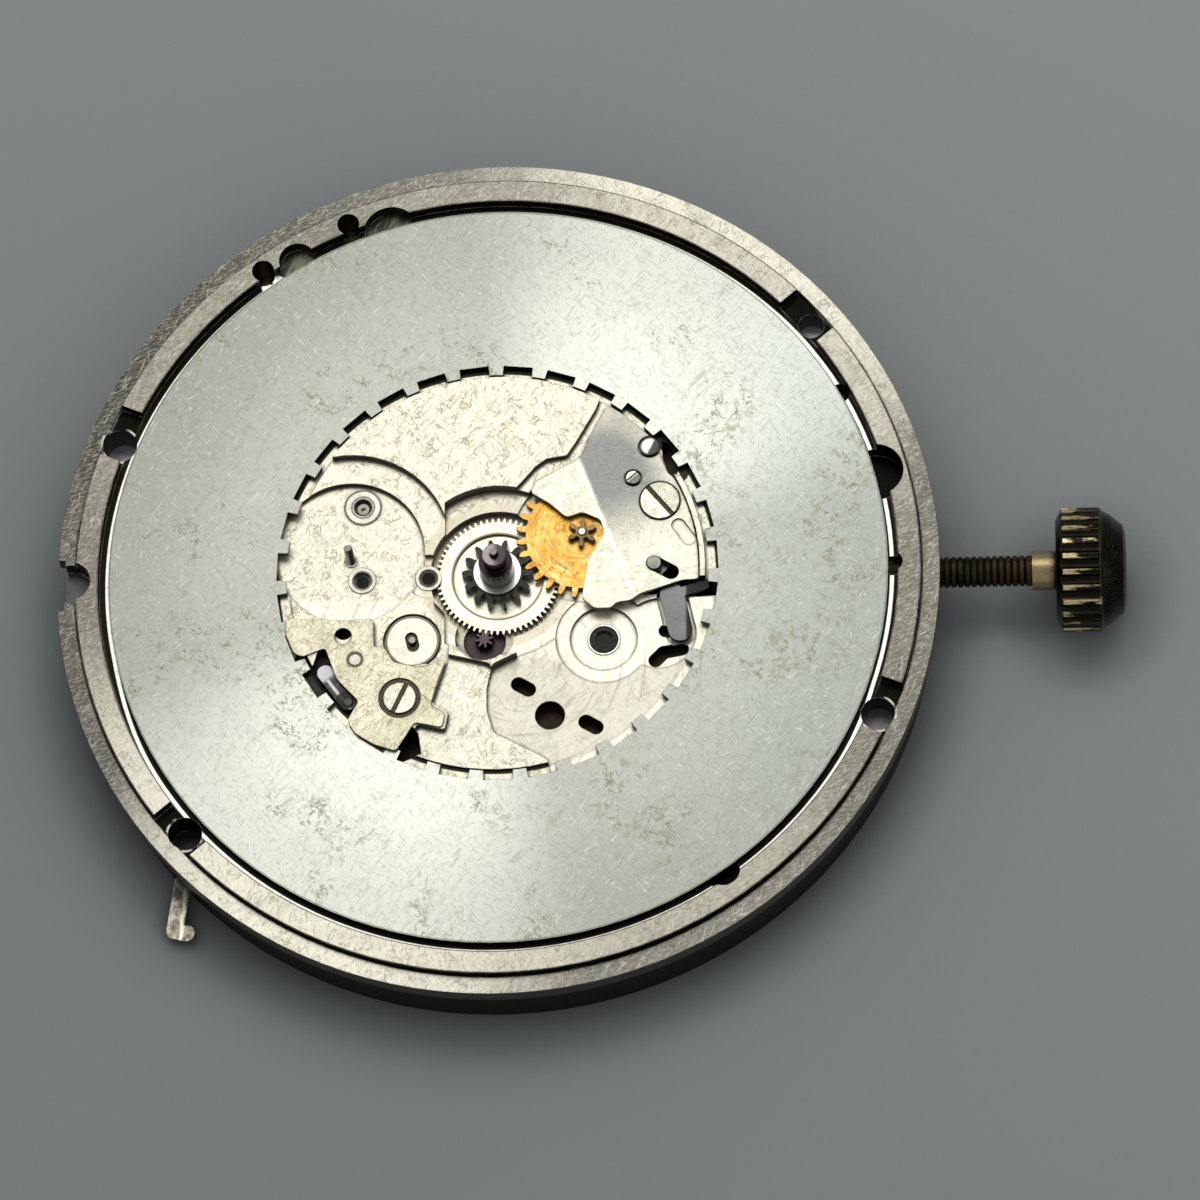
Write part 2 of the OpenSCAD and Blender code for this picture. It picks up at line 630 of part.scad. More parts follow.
module back_wells() {
    at(battery_at) disc(battery_r + battery_gap, back_z - 1, battery_well_z);
    // Wells of the train, of the stator and of the coil
    plate_of(back_z - 1, train_z) {
        circle(r = seconds_teeth * seconds_m / 2 + 0.35, $fn = round_fn);
        translate(third_at) circle(r = tip_r(third_teeth, third_m) + 0.12, $fn = round_fn);
        translate(inter_at) circle(r = tip_r(inter_teeth, inter_m) + 0.12, $fn = round_fn);
        translate(rotor_at) circle(r = rotor_well_r, $fn = round_fn);
        stator_well_2d();
    }
    translate([coil_x - coil_l / 2 - 0.1, coil_y - coil_r - 0.1, back_z - 1])
        cube([coil_l + 0.2, 2 * coil_r + 0.2, coil_z + coil_r + 0.08 - back_z + 1]);
    // Recesses of the train bridge, the circuit board and the strap
    plate_of(back_z - 1, bridge_top) difference() {
        bridge_2d(0.1);
        translate(battery_at) circle(r = battery_r + battery_gap, $fn = round_fn);
    }
    plate_of(back_z - 1, board_top) board_area_2d(0.12);
    rotate(crystal_dir) translate([crystal_at_r - crystal_r - 0.05, -crystal_l / 2 - 0.1, back_z - 1])
        cube([2 * crystal_r + 0.1, crystal_l + 0.2, board_top + crystal_r + 0.05 - back_z + 1]);
    plate_of(back_z - 1, strap_z + strap_t) strap_2d(0.1);
    // Screw holes
    for (p = bridge_screw_spots) at(p) disc(back_shank_r, back_z, bridge_top + 0.45, small_fn);
    for (p = board_screw_spots) at(p) disc(back_shank_r, back_z, board_top + 0.45, small_fn);
    for (x = arm_xs) at([x, coil_y]) disc(back_shank_r, back_z, train_z + 0.3, small_fn);
    at(strap_screw_at) disc(back_shank_r, back_z, strap_z + strap_t + 0.5, small_fn);
}

module stator_well_2d() {
    translate([core_end_l - 0.15, coil_y - 0.75]) square([core_end_r - core_end_l + 0.3, 1.5]);
    for (x = arm_xs) {
        capsule(rotor_at, [x, arm_y], 0.75);
        capsule([x, arm_y], [x, coil_y], 0.6);
    }
}

module main_plate() {
    color(nickel) difference() {
        union() {
            disc(case_r, back_z, channel_z);
            disc(flange_r, -flange_drop - flange_t, -flange_drop);
            disc(seat_r, channel_z, 0);
        }
        difference() {
            disc(seat_inner_r, channel_z, 1);
            disc(island_r, channel_z - 1, max(block_z, keeper_z));
        }
        dial_side_cuts();
        rim_cuts();
        keyless_well();
        back_wells();
        pressed_holes();
    }
}

// Holes that the pressed-in pieces fill
module pressed_holes() {
    for (k = [0:3]) at(bushing_spots[k]) disc(bushing_sizes[k][0], bushing_floor(k), 0, small_fn);
    disc(tube_r, train_z - 1, 0, small_fn);
    at(stud_at) disc(0.16, -date_pocket_drop - 0.12, 0, small_fn);
    at(minute_at) disc(minute_foot_r, minute_floor_z - 0.3, 0, small_fn);
    at(disc_at) disc(0.1, ledge_z - 0.35, 0, small_fn);
    at(steady_at) disc(steady_r, pad_z - 0.4, 0, small_fn);
    at(jumper_post_at) disc(0.28, pad_z - 0.4, 0, small_fn);
    at(keeper_pin_at) disc(0.18, keeper_z - 0.35, 0, small_fn);
    at(jumper_screw_at) disc(0.26, pad_z - 0.5, 0, small_fn);
    at(keeper_screw_at) disc(0.26, keeper_z - 0.45, 0, small_fn);
    at(lever_pivot_at) disc(0.15, lever_z - 0.5, 0, small_fn);
    at(yoke_pivot_at) disc(0.15, yoke_z - 0.6, 0, small_fn);
    at(date_pivot_at) disc(0.12, channel_z - 0.12, 0, small_fn);
    at(rotor_at) disc(pivot_r + run_gap, train_z - 0.2, train_z + 0.12, small_fn);
    at(inter_at) disc(pivot_r + run_gap, train_z - 0.2, train_z + 0.12, small_fn);
}

function ground_z(k) = k < 2 ? -date_pocket_drop : k == 2 ? boss_z : setting_floor_z;
function bushing_floor(k) = k == 2 ? drive_top + 0.02 : ground_z(k) - 0.15;

module bushings() {
    color(brass) for (k = [0:3]) at(bushing_spots[k]) difference() {
        disc(bushing_sizes[k][0], bushing_floor(k), ground_z(k) + 0.03, small_fn);
        disc(bushing_sizes[k][1], bushing_floor(k) + 0.03, 0, small_fn);
    }
}

module steady_pins() {
    color(steel) {
        at(steady_at) screw(jumper_top - 0.04, steady_r, 0.1, steady_r, jumper_top - 0.04 - pad_z + 0.4, 40);
        at(jumper_post_at) disc(0.28, pad_z - 0.4, jumper_top + 0.04, small_fn);
        at(keeper_pin_at) disc(0.18, keeper_z - 0.35, keeper_z + keeper_t - 0.02, small_fn);
    }
}

// The stud leans a little, as it does on a movement that has been taken apart
module date_wheel_stud() {
    color(steel) at(stud_at) {
        disc(0.16, -date_pocket_drop - 0.12, -date_pocket_drop + 0.04, small_fn);
        translate([0, 0, -date_pocket_drop]) rotate(stud_lean)
            cylinder(r = 0.13, h = 0.58, $fn = small_fn);
    }
}

module minute_stud() {
    color(steel) at(minute_at) {
        disc(minute_foot_r, minute_floor_z - 0.3, minute_z - 0.02, small_fn);
        disc(minute_stud_r, minute_z - 0.02, minute_pinion_top + 0.05, small_fn);
    }
}

module corrector_stud() {
    color(steel) at(disc_at) disc(0.1, ledge_z - 0.35, ledge_z + disc_t + 0.12, small_fn);
}

module centre_tube() {
    color(brass) difference() {
        disc(tube_r, train_z, tube_top, small_fn);
        disc(tube_bore_r, train_z - 1, 2, small_fn);
    }
}

module date_ring() {
    color([0.80, 0.82, 0.80]) plate_of(ring_z, ring_top) difference() {
        circle(r = ring_r, $fn = 180);
        circle(r = ring_tip_r, $fn = 180);
        for (k = [0:30]) rotate(84.7 + k * 360 / 31)
            translate([0, -ring_notch_w / 2]) square([ring_root_r, ring_notch_w]);
    }
}

module date_jumper() {
    color(steel) plate_of(ring_z + 0.02, ring_top - 0.02) difference() {
        capsule(date_pivot_at, date_beak_at, 0.24);
        translate(date_pivot_at) circle(r = 0.12 + run_gap, $fn = small_fn);
    }
}

module date_jumper_pivot() {
    color(steel) at(date_pivot_at) disc(0.12, channel_z - 0.12, ring_top, small_fn);
}

module date_keeper() {
    color(nickel) difference() {
        plate_of(keeper_z, keeper_z + keeper_t) keeper_2d();
        at(keeper_hole_at) disc(keeper_hole_r, -1, 1, small_fn);
        at(keeper_pin_at) disc(0.18, -1, 1, small_fn);
        at(keeper_screw_at) {
            disc(keeper_screw_r + 0.15, keeper_z + keeper_t / 2, 1, small_fn);
            disc(0.26, -1, 1, small_fn);
        }
    }
}

module date_keeper_screw() {
    color(steel) at(keeper_screw_at)
        screw(keeper_z + keeper_t / 2, keeper_screw_r, keeper_t / 2 + 0.01, 0.26, keeper_t / 2 + 0.45, 65);
}

module corrector_disc() {
    color(nickel) at(disc_at) difference() {
        disc(disc_r, ledge_z, ledge_z + disc_t, small_fn);
        disc(0.1 + run_gap, -1, 1, small_fn);
        plate_of(ledge_z + disc_t / 2, 1) capsule([-0.03, 0.1], [0.03, -0.14], 0.18);
    }
}

module cannon_pinion() {
    color(dark_steel) difference() {
        union() {
            wheel(cannon_leaves, motion_m, minute_dir, web_top, leaf_top);
            disc(0.7, leaf_top, shoulder_top, small_fn);
            disc(hour_seat_r, shoulder_top, hour_seat_h, small_fn);
            disc(hand_seat_r, hour_seat_h, cannon_top, small_fn);
        }
        disc(tube_r + run_gap, -3, tube_top + 0.05, small_fn);
        disc(tube_bore_r, -3, 3, small_fn);
    }
}

module driving_wheel() {
    color(nickel) difference() {
        wheel(drive_teeth, drive_m, third_dir, drive_z, drive_top);
        disc(drive_recess_r, web_top, 1);
        disc(tube_r + run_gap, -3, 1, small_fn);
    }
}

module minute_wheel() {
    color(gold) at(minute_at) difference() {
        wheel(minute_teeth, motion_m, minute_dir + 180 + 180 / minute_teeth, minute_z, minute_top);
        disc(minute_stud_r + run_gap, -3, 1, small_fn);
    }
}

module minute_pinion() {
    color(dark_steel) at(minute_at) difference() {
        wheel(minute_leaves, motion_m * 0.85, minute_dir, minute_top, minute_pinion_top);
        disc(minute_stud_r + run_gap, -3, 1, small_fn);
    }
}

module setting_lever_jumper() {
    color(steel) difference() {
        plate_of(pad_z, jumper_top) difference() {
            jumper_2d();
            translate(jumper_screw_at) circle(r = 0.26, $fn = small_fn);
            translate(steady_at) circle(r = steady_r + 0.07, $fn = small_fn);
            translate(jumper_post_at) circle(r = 0.34, $fn = small_fn);
            capsule(lever_pin_at, lever_end_at, lever_pin_r + 0.03);
        }
        // Seat of the screw, and the pressed oblong beside it
        plate_of(jumper_top - seat_sink, 1) {
            translate(jumper_screw_at) circle(r = jumper_screw_r + 0.05, $fn = small_fn);
            capsule(lever_pivot_at + polar(0.27, 125), lever_pivot_at + polar(0.27, -55), 0.21);
        }
    }
}

module jumper_screw() {
    color(steel) at(jumper_screw_at)
        screw(jumper_top - seat_sink, jumper_screw_r, 0.1, 0.26, jumper_t - seat_sink + 0.5, -50);
}

module setting_lever() {
    color(steel) difference() {
        union() {
            plate_of(lever_z, lever_z + lever_t) {
                capsule(lever_pivot_at, lever_pin_at, lever_arm_r);
                translate(lever_pivot_at) circle(r = lever_boss_r, $fn = small_fn);
            }
            at(lever_pin_at) {
                disc(lever_pin_r, lever_z, jumper_top + 0.06, small_fn);
                disc(stud_r, stem_z + 0.17, lever_z + 0.02, small_fn);
            }
        }
        at(lever_pivot_at) disc(0.15 + run_gap, -3, 1, small_fn);
    }
}

module setting_lever_pivot() {
    color(steel) at(lever_pivot_at) disc(0.15, lever_z - 0.5, pad_z - 0.03, small_fn);
}

module yoke() {
    color(dark_steel) difference() {
        union() {
            plate_of(yoke_z, yoke_z + lever_t) {
                capsule(yoke_pivot_at, yoke_top_at, yoke_r);
                capsule(yoke_top_at, yoke_finger_at, finger_arm_r);
            }
            at(yoke_finger_at) disc(finger_r, stem_z - 0.15, yoke_z + 0.02, small_fn);
        }
        at(yoke_pivot_at) disc(0.15 + run_gap, -3, yoke_z + lever_t - 0.05, small_fn);
    }
}

module yoke_pivot() {
    color(steel) at(yoke_pivot_at) disc(0.15, yoke_z - 0.6, yoke_z + lever_t - 0.07, small_fn);
}

// Turned pieces on the stem's axis. Their profiles list radius and distance along X
module on_stem(x) {
    translate([x, 0, stem_z]) rotate([0, 90, 0]) children();
}

// Grooves of the stem's thread, as a profile of radius and distance
function thread_profile(count) = [for (k = [0:count - 1]) each
    [[stem_r, (k + 0.25) * thread_pitch], [stem_r - thread_d, (k + 0.5) * thread_pitch],
     [stem_r, (k + 0.75) * thread_pitch]]];

module stem() {
    groove_end = groove_x + groove_w;
    threads = thread_profile(floor(thread_l / thread_pitch));
    color([0.27, 0.20, 0.15]) union() {
        on_stem(stem_in_x) cylinder(r = stem_pivot_r, h = groove_x - collar_l - stem_in_x, $fn = small_fn);
        on_stem(groove_x - collar_l) cylinder(r = collar_r, h = collar_l, $fn = small_fn);
        on_stem(groove_x) cylinder(r = 0.15, h = groove_w, $fn = small_fn);
        translate([groove_end, -square_w / 2, stem_z - square_w / 2])
            cube([square_x - groove_end, square_w, square_w]);
        on_stem(square_x) cylinder(r = stem_r, h = flange_r - square_x, $fn = small_fn);
        on_stem(flange_r) rotate_extrude($fn = small_fn) polygon(concat([[0, 0], [stem_r, 0]], threads,
            [[stem_r, thread_l + crown_bore_l], [0, thread_l + crown_bore_l]]));
    }
}

module crown() {
    body_l = neck_l + crown_l;
    end_l = body_l + cap_l;
    neck = [[0, crown_bore_l], [stem_r, crown_bore_l], [stem_r, 0], [neck_r, 0], [neck_r, neck_l]];
    rim = [[crown_r - 0.35, neck_l], [crown_r, neck_l + 0.2], [crown_r, body_l],
           [crown_r - 0.1, body_l + 0.08]];
    cap = [[crown_r - 0.22, body_l + 0.3], [cap_r + 0.25, end_l - 0.08], [cap_r, end_l], [0, end_l]];
    color([0.30, 0.24, 0.15]) on_stem(neck_x) difference() {
        rotate_extrude($fn = 72) polygon(concat(neck, rim, cap));
        for (k = [0:flute_count - 1]) rotate(k * 360 / flute_count)
            translate([crown_r + 0.04, 0, neck_l - 0.1])
                cylinder(r = flute_r, h = crown_l + 0.08, $fn = small_fn);
    }
}

module sliding_pinion() {
    bore_w = square_w + 2 * run_gap;
    leaves = 12;
    color(steel) on_stem(clutch_x) difference() {
        union() {
            disc(clutch_r, 0, 0.3, small_fn);
            disc(0.35, 0.3, 0.3 + clutch_groove_w, small_fn);
            wheel(leaves, clutch_r / (leaves / 2 + 0.95), 15, 0.3 + clutch_groove_w, clutch_l);
        }
        translate([-bore_w / 2, -bore_w / 2, -1]) cube([bore_w, bore_w, clutch_l + 2]);
    }
}

module arbor(z0, z1) {
    disc(arbor_r, z0, z1, small_fn);
}

module pivot(z0, z1) {
    disc(pivot_r, z0, z1, small_fn);
}

module third_wheel() {
    pinion_dir = third_dir + 180 + 180 / third_leaves;
    color(brass) at(third_at) {
        wheel(third_teeth, third_m, third_dir + 180, third_z, third_z + wheel_t);
        wheel(third_leaves, drive_m, pinion_dir, drive_z - 0.08, drive_top + 0.04);
        arbor(bridge_top + 0.05, drive_z);
        pivot(bridge_z, bridge_top + 0.06);
    }
}

module seconds_wheel() {
    pinion_dir = third_dir + 180 / seconds_leaves;
    seconds_top = seconds_z + wheel_t;
    third_top = third_z + wheel_t;
    color(brass) {
        wheel(seconds_teeth, seconds_m, inter_dir, seconds_z, seconds_top);
        wheel(seconds_leaves, third_m, pinion_dir, seconds_top, third_top + 0.02);
        disc(seconds_r - 0.01, third_top, cannon_top - relief_l, small_fn);
        translate([0, 0, cannon_top - relief_l]) cylinder(r1 = seconds_r - 0.01, r2 = seconds_r - 0.02,
            h = relief_l, $fn = small_fn);
        disc(seconds_r, cannon_top, cannon_top + seconds_l, small_fn);
        arbor(bridge_top + 0.05, seconds_z + 0.01);
        pivot(bridge_z, bridge_top + 0.06);
    }
}

module intermediate_wheel() {
    pinion_dir = inter_dir + 180 + 180 / inter_leaves;
    inter_top = inter_z + wheel_t;
    color(brass) at(inter_at) {
        wheel(inter_teeth, inter_m, rotor_dir, inter_z, inter_top);
        wheel(inter_leaves, seconds_m, pinion_dir, inter_top, seconds_z + wheel_t + 0.02);
        arbor(seconds_z + wheel_t, train_z - 0.05);
        pivot(train_z - 0.06, train_z + 0.1);
        pivot(bridge_z, inter_z + 0.01);
    }
}

module rotor() {
    pinion_dir = rotor_dir + 180 + 180 / rotor_leaves;
    pinion_top = inter_z + wheel_t + 0.04;
    color(steel) at(rotor_at) {
        wheel(rotor_leaves, inter_m, pinion_dir, inter_z - 0.04, pinion_top);
        arbor(pinion_top - 0.02, train_z - 0.05);
        pivot(train_z - 0.06, train_z + 0.1);
        pivot(bridge_z, inter_z);
    }
}

module rotor_magnet() {
    mid_z = stator_z + core_t / 2;
    color(dark_steel) at(rotor_at) difference() {
        disc(magnet_r, mid_z - magnet_t / 2, mid_z + magnet_t / 2, small_fn);
        disc(arbor_r, -3, 1, small_fn);
    }
}

module stator() {
    color(steel) plate_of(stator_z, stator_z + core_t) difference() {
        union() {
            for (x = arm_xs) {
                capsule(rotor_at, [x, arm_y], 0.5);
                capsule([x, arm_y], [x, coil_y], 0.4);
            }
            translate(rotor_at) circle(r = stator_r, $fn = round_fn);
        }
        translate(rotor_at) circle(r = magnet_r + 0.25, $fn = round_fn);
        for (x = arm_xs) translate([x, coil_y]) circle(r = core_hole_r, $fn = small_fn);
    }
}

module coil_core() {
    color(steel) difference() {
        translate([core_end_l, coil_y - core_w / 2, core_z]) cube([core_end_r - core_end_l, core_w, core_t]);
        for (x = arm_xs) at([x, coil_y]) disc(core_hole_r, -3, 0, small_fn);
    }
}

module coil_winding() {
    color(copper) difference() {
        translate([coil_x - coil_l / 2, coil_y, coil_z]) rotate([0, 90, 0])
            cylinder(r = coil_r, h = coil_l, $fn = round_fn);
        translate([coil_x - coil_l, coil_y - core_w / 2, core_z]) cube([2 * coil_l, core_w, core_t]);
    }
}

module stator_screws() {
    color(steel) for (x = arm_xs) translate([x, coil_y, stator_z]) mirror([0, 0, 1])
        screw(0, 0.38, 0.2, core_hole_r, train_z - stator_z + 0.3, 30);
}

module board_area_2d(grow) {
    difference() {
        sector(board_outer_r + grow, board_from - grow * 5, board_to + grow * 5);
        circle(r = board_inner_r - grow, $fn = round_fn);
    }
}

module circuit_board() {
    color([0.12, 0.32, 0.20]) plate_of(board_z, board_top) difference() {
        board_area_2d(0);
        rotate(crystal_dir) translate([crystal_at_r - crystal_r - 0.06, -crystal_l / 2 - 0.1])
            square([2 * crystal_r + 0.12, crystal_l + 0.2]);
        for (p = board_screw_spots) translate(p) circle(r = back_shank_r, $fn = small_fn);
    }
}

// Drop of black resin over the chip
module circuit_chip() {
    color([0.08, 0.08, 0.08]) at(polar(chip_at_r, chip_dir)) translate([0, 0, board_z]) mirror([0, 0, 1])
        rotate_extrude($fn = small_fn)
            polygon(concat([[0, 0]], [for (t = [0:15:90]) [chip_r * cos(t), chip_h * sin(t)]]));
}

module quartz_crystal() {
    color(steel) rotate(crystal_dir) translate([crystal_at_r, -crystal_l / 2, board_top])
        rotate([-90, 0, 0]) cylinder(r = crystal_r, h = crystal_l, $fn = small_fn);
}

module board_screws() {
    color(brass) for (p = board_screw_spots) at(p) back_screw(board_z, head_h, board_t + 0.4, 20);
}

module battery() {
    can = [[0, 0], [battery_r - 0.15, 0], [battery_r, 0.15], [battery_r, battery_h - 0.25]];
    lid = [[battery_r - 0.1, battery_h - 0.12], [battery_r - 0.6, battery_h - 0.12],
           [battery_r - 0.65, battery_h], [0, battery_h]];
    color(steel) at(battery_at) translate([0, 0, battery_z])
        rotate_extrude($fn = round_fn) polygon(concat(can, lid));
}

module battery_contact() {
    color(brass) plate_of(contact_z, insulator_z)
        capsule(battery_at, battery_at + polar(battery_r - 0.9, 20), 0.45);
}

module battery_insulator() {
    color([0.75, 0.55, 0.20]) at(battery_at) disc(battery_r - 0.15, insulator_z, battery_well_z);
}

module strap_2d(grow) {
    band_out_r = strap_band_r + strap_band_w / 2 + grow;
    band_in_r = strap_band_r - strap_band_w / 2 - grow;
    translate(battery_at) difference() {
        sector(band_out_r, strap_tab_dir - 4 * grow, strap_lug_dir + 4 * grow);
        circle(r = band_in_r, $fn = round_fn);
    }
    capsule(battery_at + polar(strap_band_r, strap_lug_dir), strap_screw_at, strap_band_w / 2 - 0.02 + grow);
    capsule(battery_at + polar(strap_band_r, strap_tab_dir + 4), tab_bend_at, tab_r + grow);
    capsule(tab_bend_at, tab_end_at, tab_r + grow);
    capsule(tab_end_at, tab_foot_at, tab_r + grow);
}

module battery_strap() {
    color(steel) plate_of(strap_z, strap_z + strap_t) difference() {
        strap_2d(0);
        translate(strap_screw_at) circle(r = back_shank_r, $fn = small_fn);
    }
}

module strap_screw() {
    color(steel) at(strap_screw_at) back_screw(strap_z, head_h, strap_t + 0.45, 70);
}

module bridge_2d(grow) {
    capsule(third_at, rotor_at, bridge_half_w + grow);
    capsule([0, 0], bridge_screw_spots[0], bridge_lug_r + grow);
    capsule([0, 0], bridge_screw_spots[1], bridge_lug_r + grow);
    capsule(inter_at, bridge_screw_spots[2], bridge_lug_r + grow);
}

module train_bridge() {
    color(nickel) plate_of(bridge_z, bridge_top) difference() {
        bridge_2d(0);
        for (p = bridge_screw_spots) translate(p) circle(r = back_shank_r, $fn = small_fn);
        for (p = [[0, 0], third_at, inter_at, rotor_at]) translate(p)
            circle(r = pivot_r + run_gap, $fn = small_fn);
    }
}

module bridge_screws() {
    color(steel) for (p = bridge_screw_spots) at(p) back_screw(bridge_z, head_h, bridge_t + 0.4, 15);
}

main_plate();
bushings();
steady_pins();
date_wheel_stud();
minute_stud();
corrector_stud();
centre_tube();
date_ring();
date_jumper();
date_jumper_pivot();
date_keeper();
date_keeper_screw();
corrector_disc();
cannon_pinion();
driving_wheel();
minute_wheel();
minute_pinion();
setting_lever_jumper();
jumper_screw();
setting_lever();
setting_lever_pivot();
yoke();
yoke_pivot();
stem();
crown();
sliding_pinion();
third_wheel();
seconds_wheel();
intermediate_wheel();
rotor();
rotor_magnet();
stator();
coil_core();
coil_winding();
stator_screws();
circuit_board();
circuit_chip();
quartz_crystal();
board_screws();
battery();
battery_contact();
battery_insulator();
battery_strap();
strap_screw();
train_bridge();
bridge_screws();
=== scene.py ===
import json
import math

import bpy
from mathutils import Matrix, Vector


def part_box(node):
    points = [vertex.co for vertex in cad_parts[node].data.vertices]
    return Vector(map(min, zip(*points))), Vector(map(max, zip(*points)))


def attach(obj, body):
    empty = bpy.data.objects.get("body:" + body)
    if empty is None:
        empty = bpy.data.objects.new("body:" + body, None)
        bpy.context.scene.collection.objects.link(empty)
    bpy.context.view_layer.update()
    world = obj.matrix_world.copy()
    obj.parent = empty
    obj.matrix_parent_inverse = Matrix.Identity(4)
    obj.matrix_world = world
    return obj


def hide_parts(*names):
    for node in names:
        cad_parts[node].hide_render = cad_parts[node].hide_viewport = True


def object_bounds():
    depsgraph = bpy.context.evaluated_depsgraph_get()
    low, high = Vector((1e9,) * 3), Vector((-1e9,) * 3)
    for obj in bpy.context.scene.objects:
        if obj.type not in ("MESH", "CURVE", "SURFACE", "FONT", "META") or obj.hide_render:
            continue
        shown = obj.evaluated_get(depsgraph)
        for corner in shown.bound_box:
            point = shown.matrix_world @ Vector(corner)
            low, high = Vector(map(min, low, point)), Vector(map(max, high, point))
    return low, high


MM = 0.001
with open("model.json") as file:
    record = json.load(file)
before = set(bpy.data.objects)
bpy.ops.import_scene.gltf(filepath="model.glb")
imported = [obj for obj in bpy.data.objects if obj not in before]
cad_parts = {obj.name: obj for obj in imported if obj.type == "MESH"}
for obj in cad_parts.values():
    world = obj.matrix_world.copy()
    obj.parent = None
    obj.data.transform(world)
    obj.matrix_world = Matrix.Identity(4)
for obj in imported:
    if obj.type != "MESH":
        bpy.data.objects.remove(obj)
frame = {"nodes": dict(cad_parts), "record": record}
nodes = frame["nodes"]
cad_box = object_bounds()
scene = bpy.context.scene
scene.view_settings.view_transform = "Standard"


# Camera, floor and light

# The photograph's view: the camera's tilt in radians, where it sees the origin in millimetres,
# and its focal length in pixels
TILT_X = -0.3613
TILT_Y = -0.0586
ORIGIN_SEEN = (-3.0348, 0.9066, -232.5)
FOCAL_PIXELS = 7915
PICTURE_PIXELS = 1200


def polar(radius, degrees):
    return radius * math.cos(math.radians(degrees)), radius * math.sin(math.radians(degrees))


def middle(node):
    """The middle of a CAD node as seen from above, in millimetres and to a hundredth."""
    low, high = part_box(node)
    return tuple(round((a + b) / 2 / MM, 2) for a, b in zip(low.xy, high.xy))


def add_camera():
    """The view from 69 degrees above the floor, from the front and a little to the right."""
    tilt = Matrix.Rotation(TILT_X, 3, "X") @ Matrix.Rotation(TILT_Y, 3, "Y")
    turned = tilt.transposed()
    data = bpy.data.cameras.new("camera")
    data.sensor_fit = "HORIZONTAL"
    data.sensor_width = 36
    data.lens = data.sensor_width * FOCAL_PIXELS / PICTURE_PIXELS
    data.clip_start = 0.01
    data.clip_end = 10
    camera = bpy.data.objects.new("camera", data)
    scene.collection.objects.link(camera)
    away = turned @ (Vector(ORIGIN_SEEN) * MM)
    camera.matrix_world = Matrix.Translation(-away) @ turned.to_4x4()
    scene.camera = camera


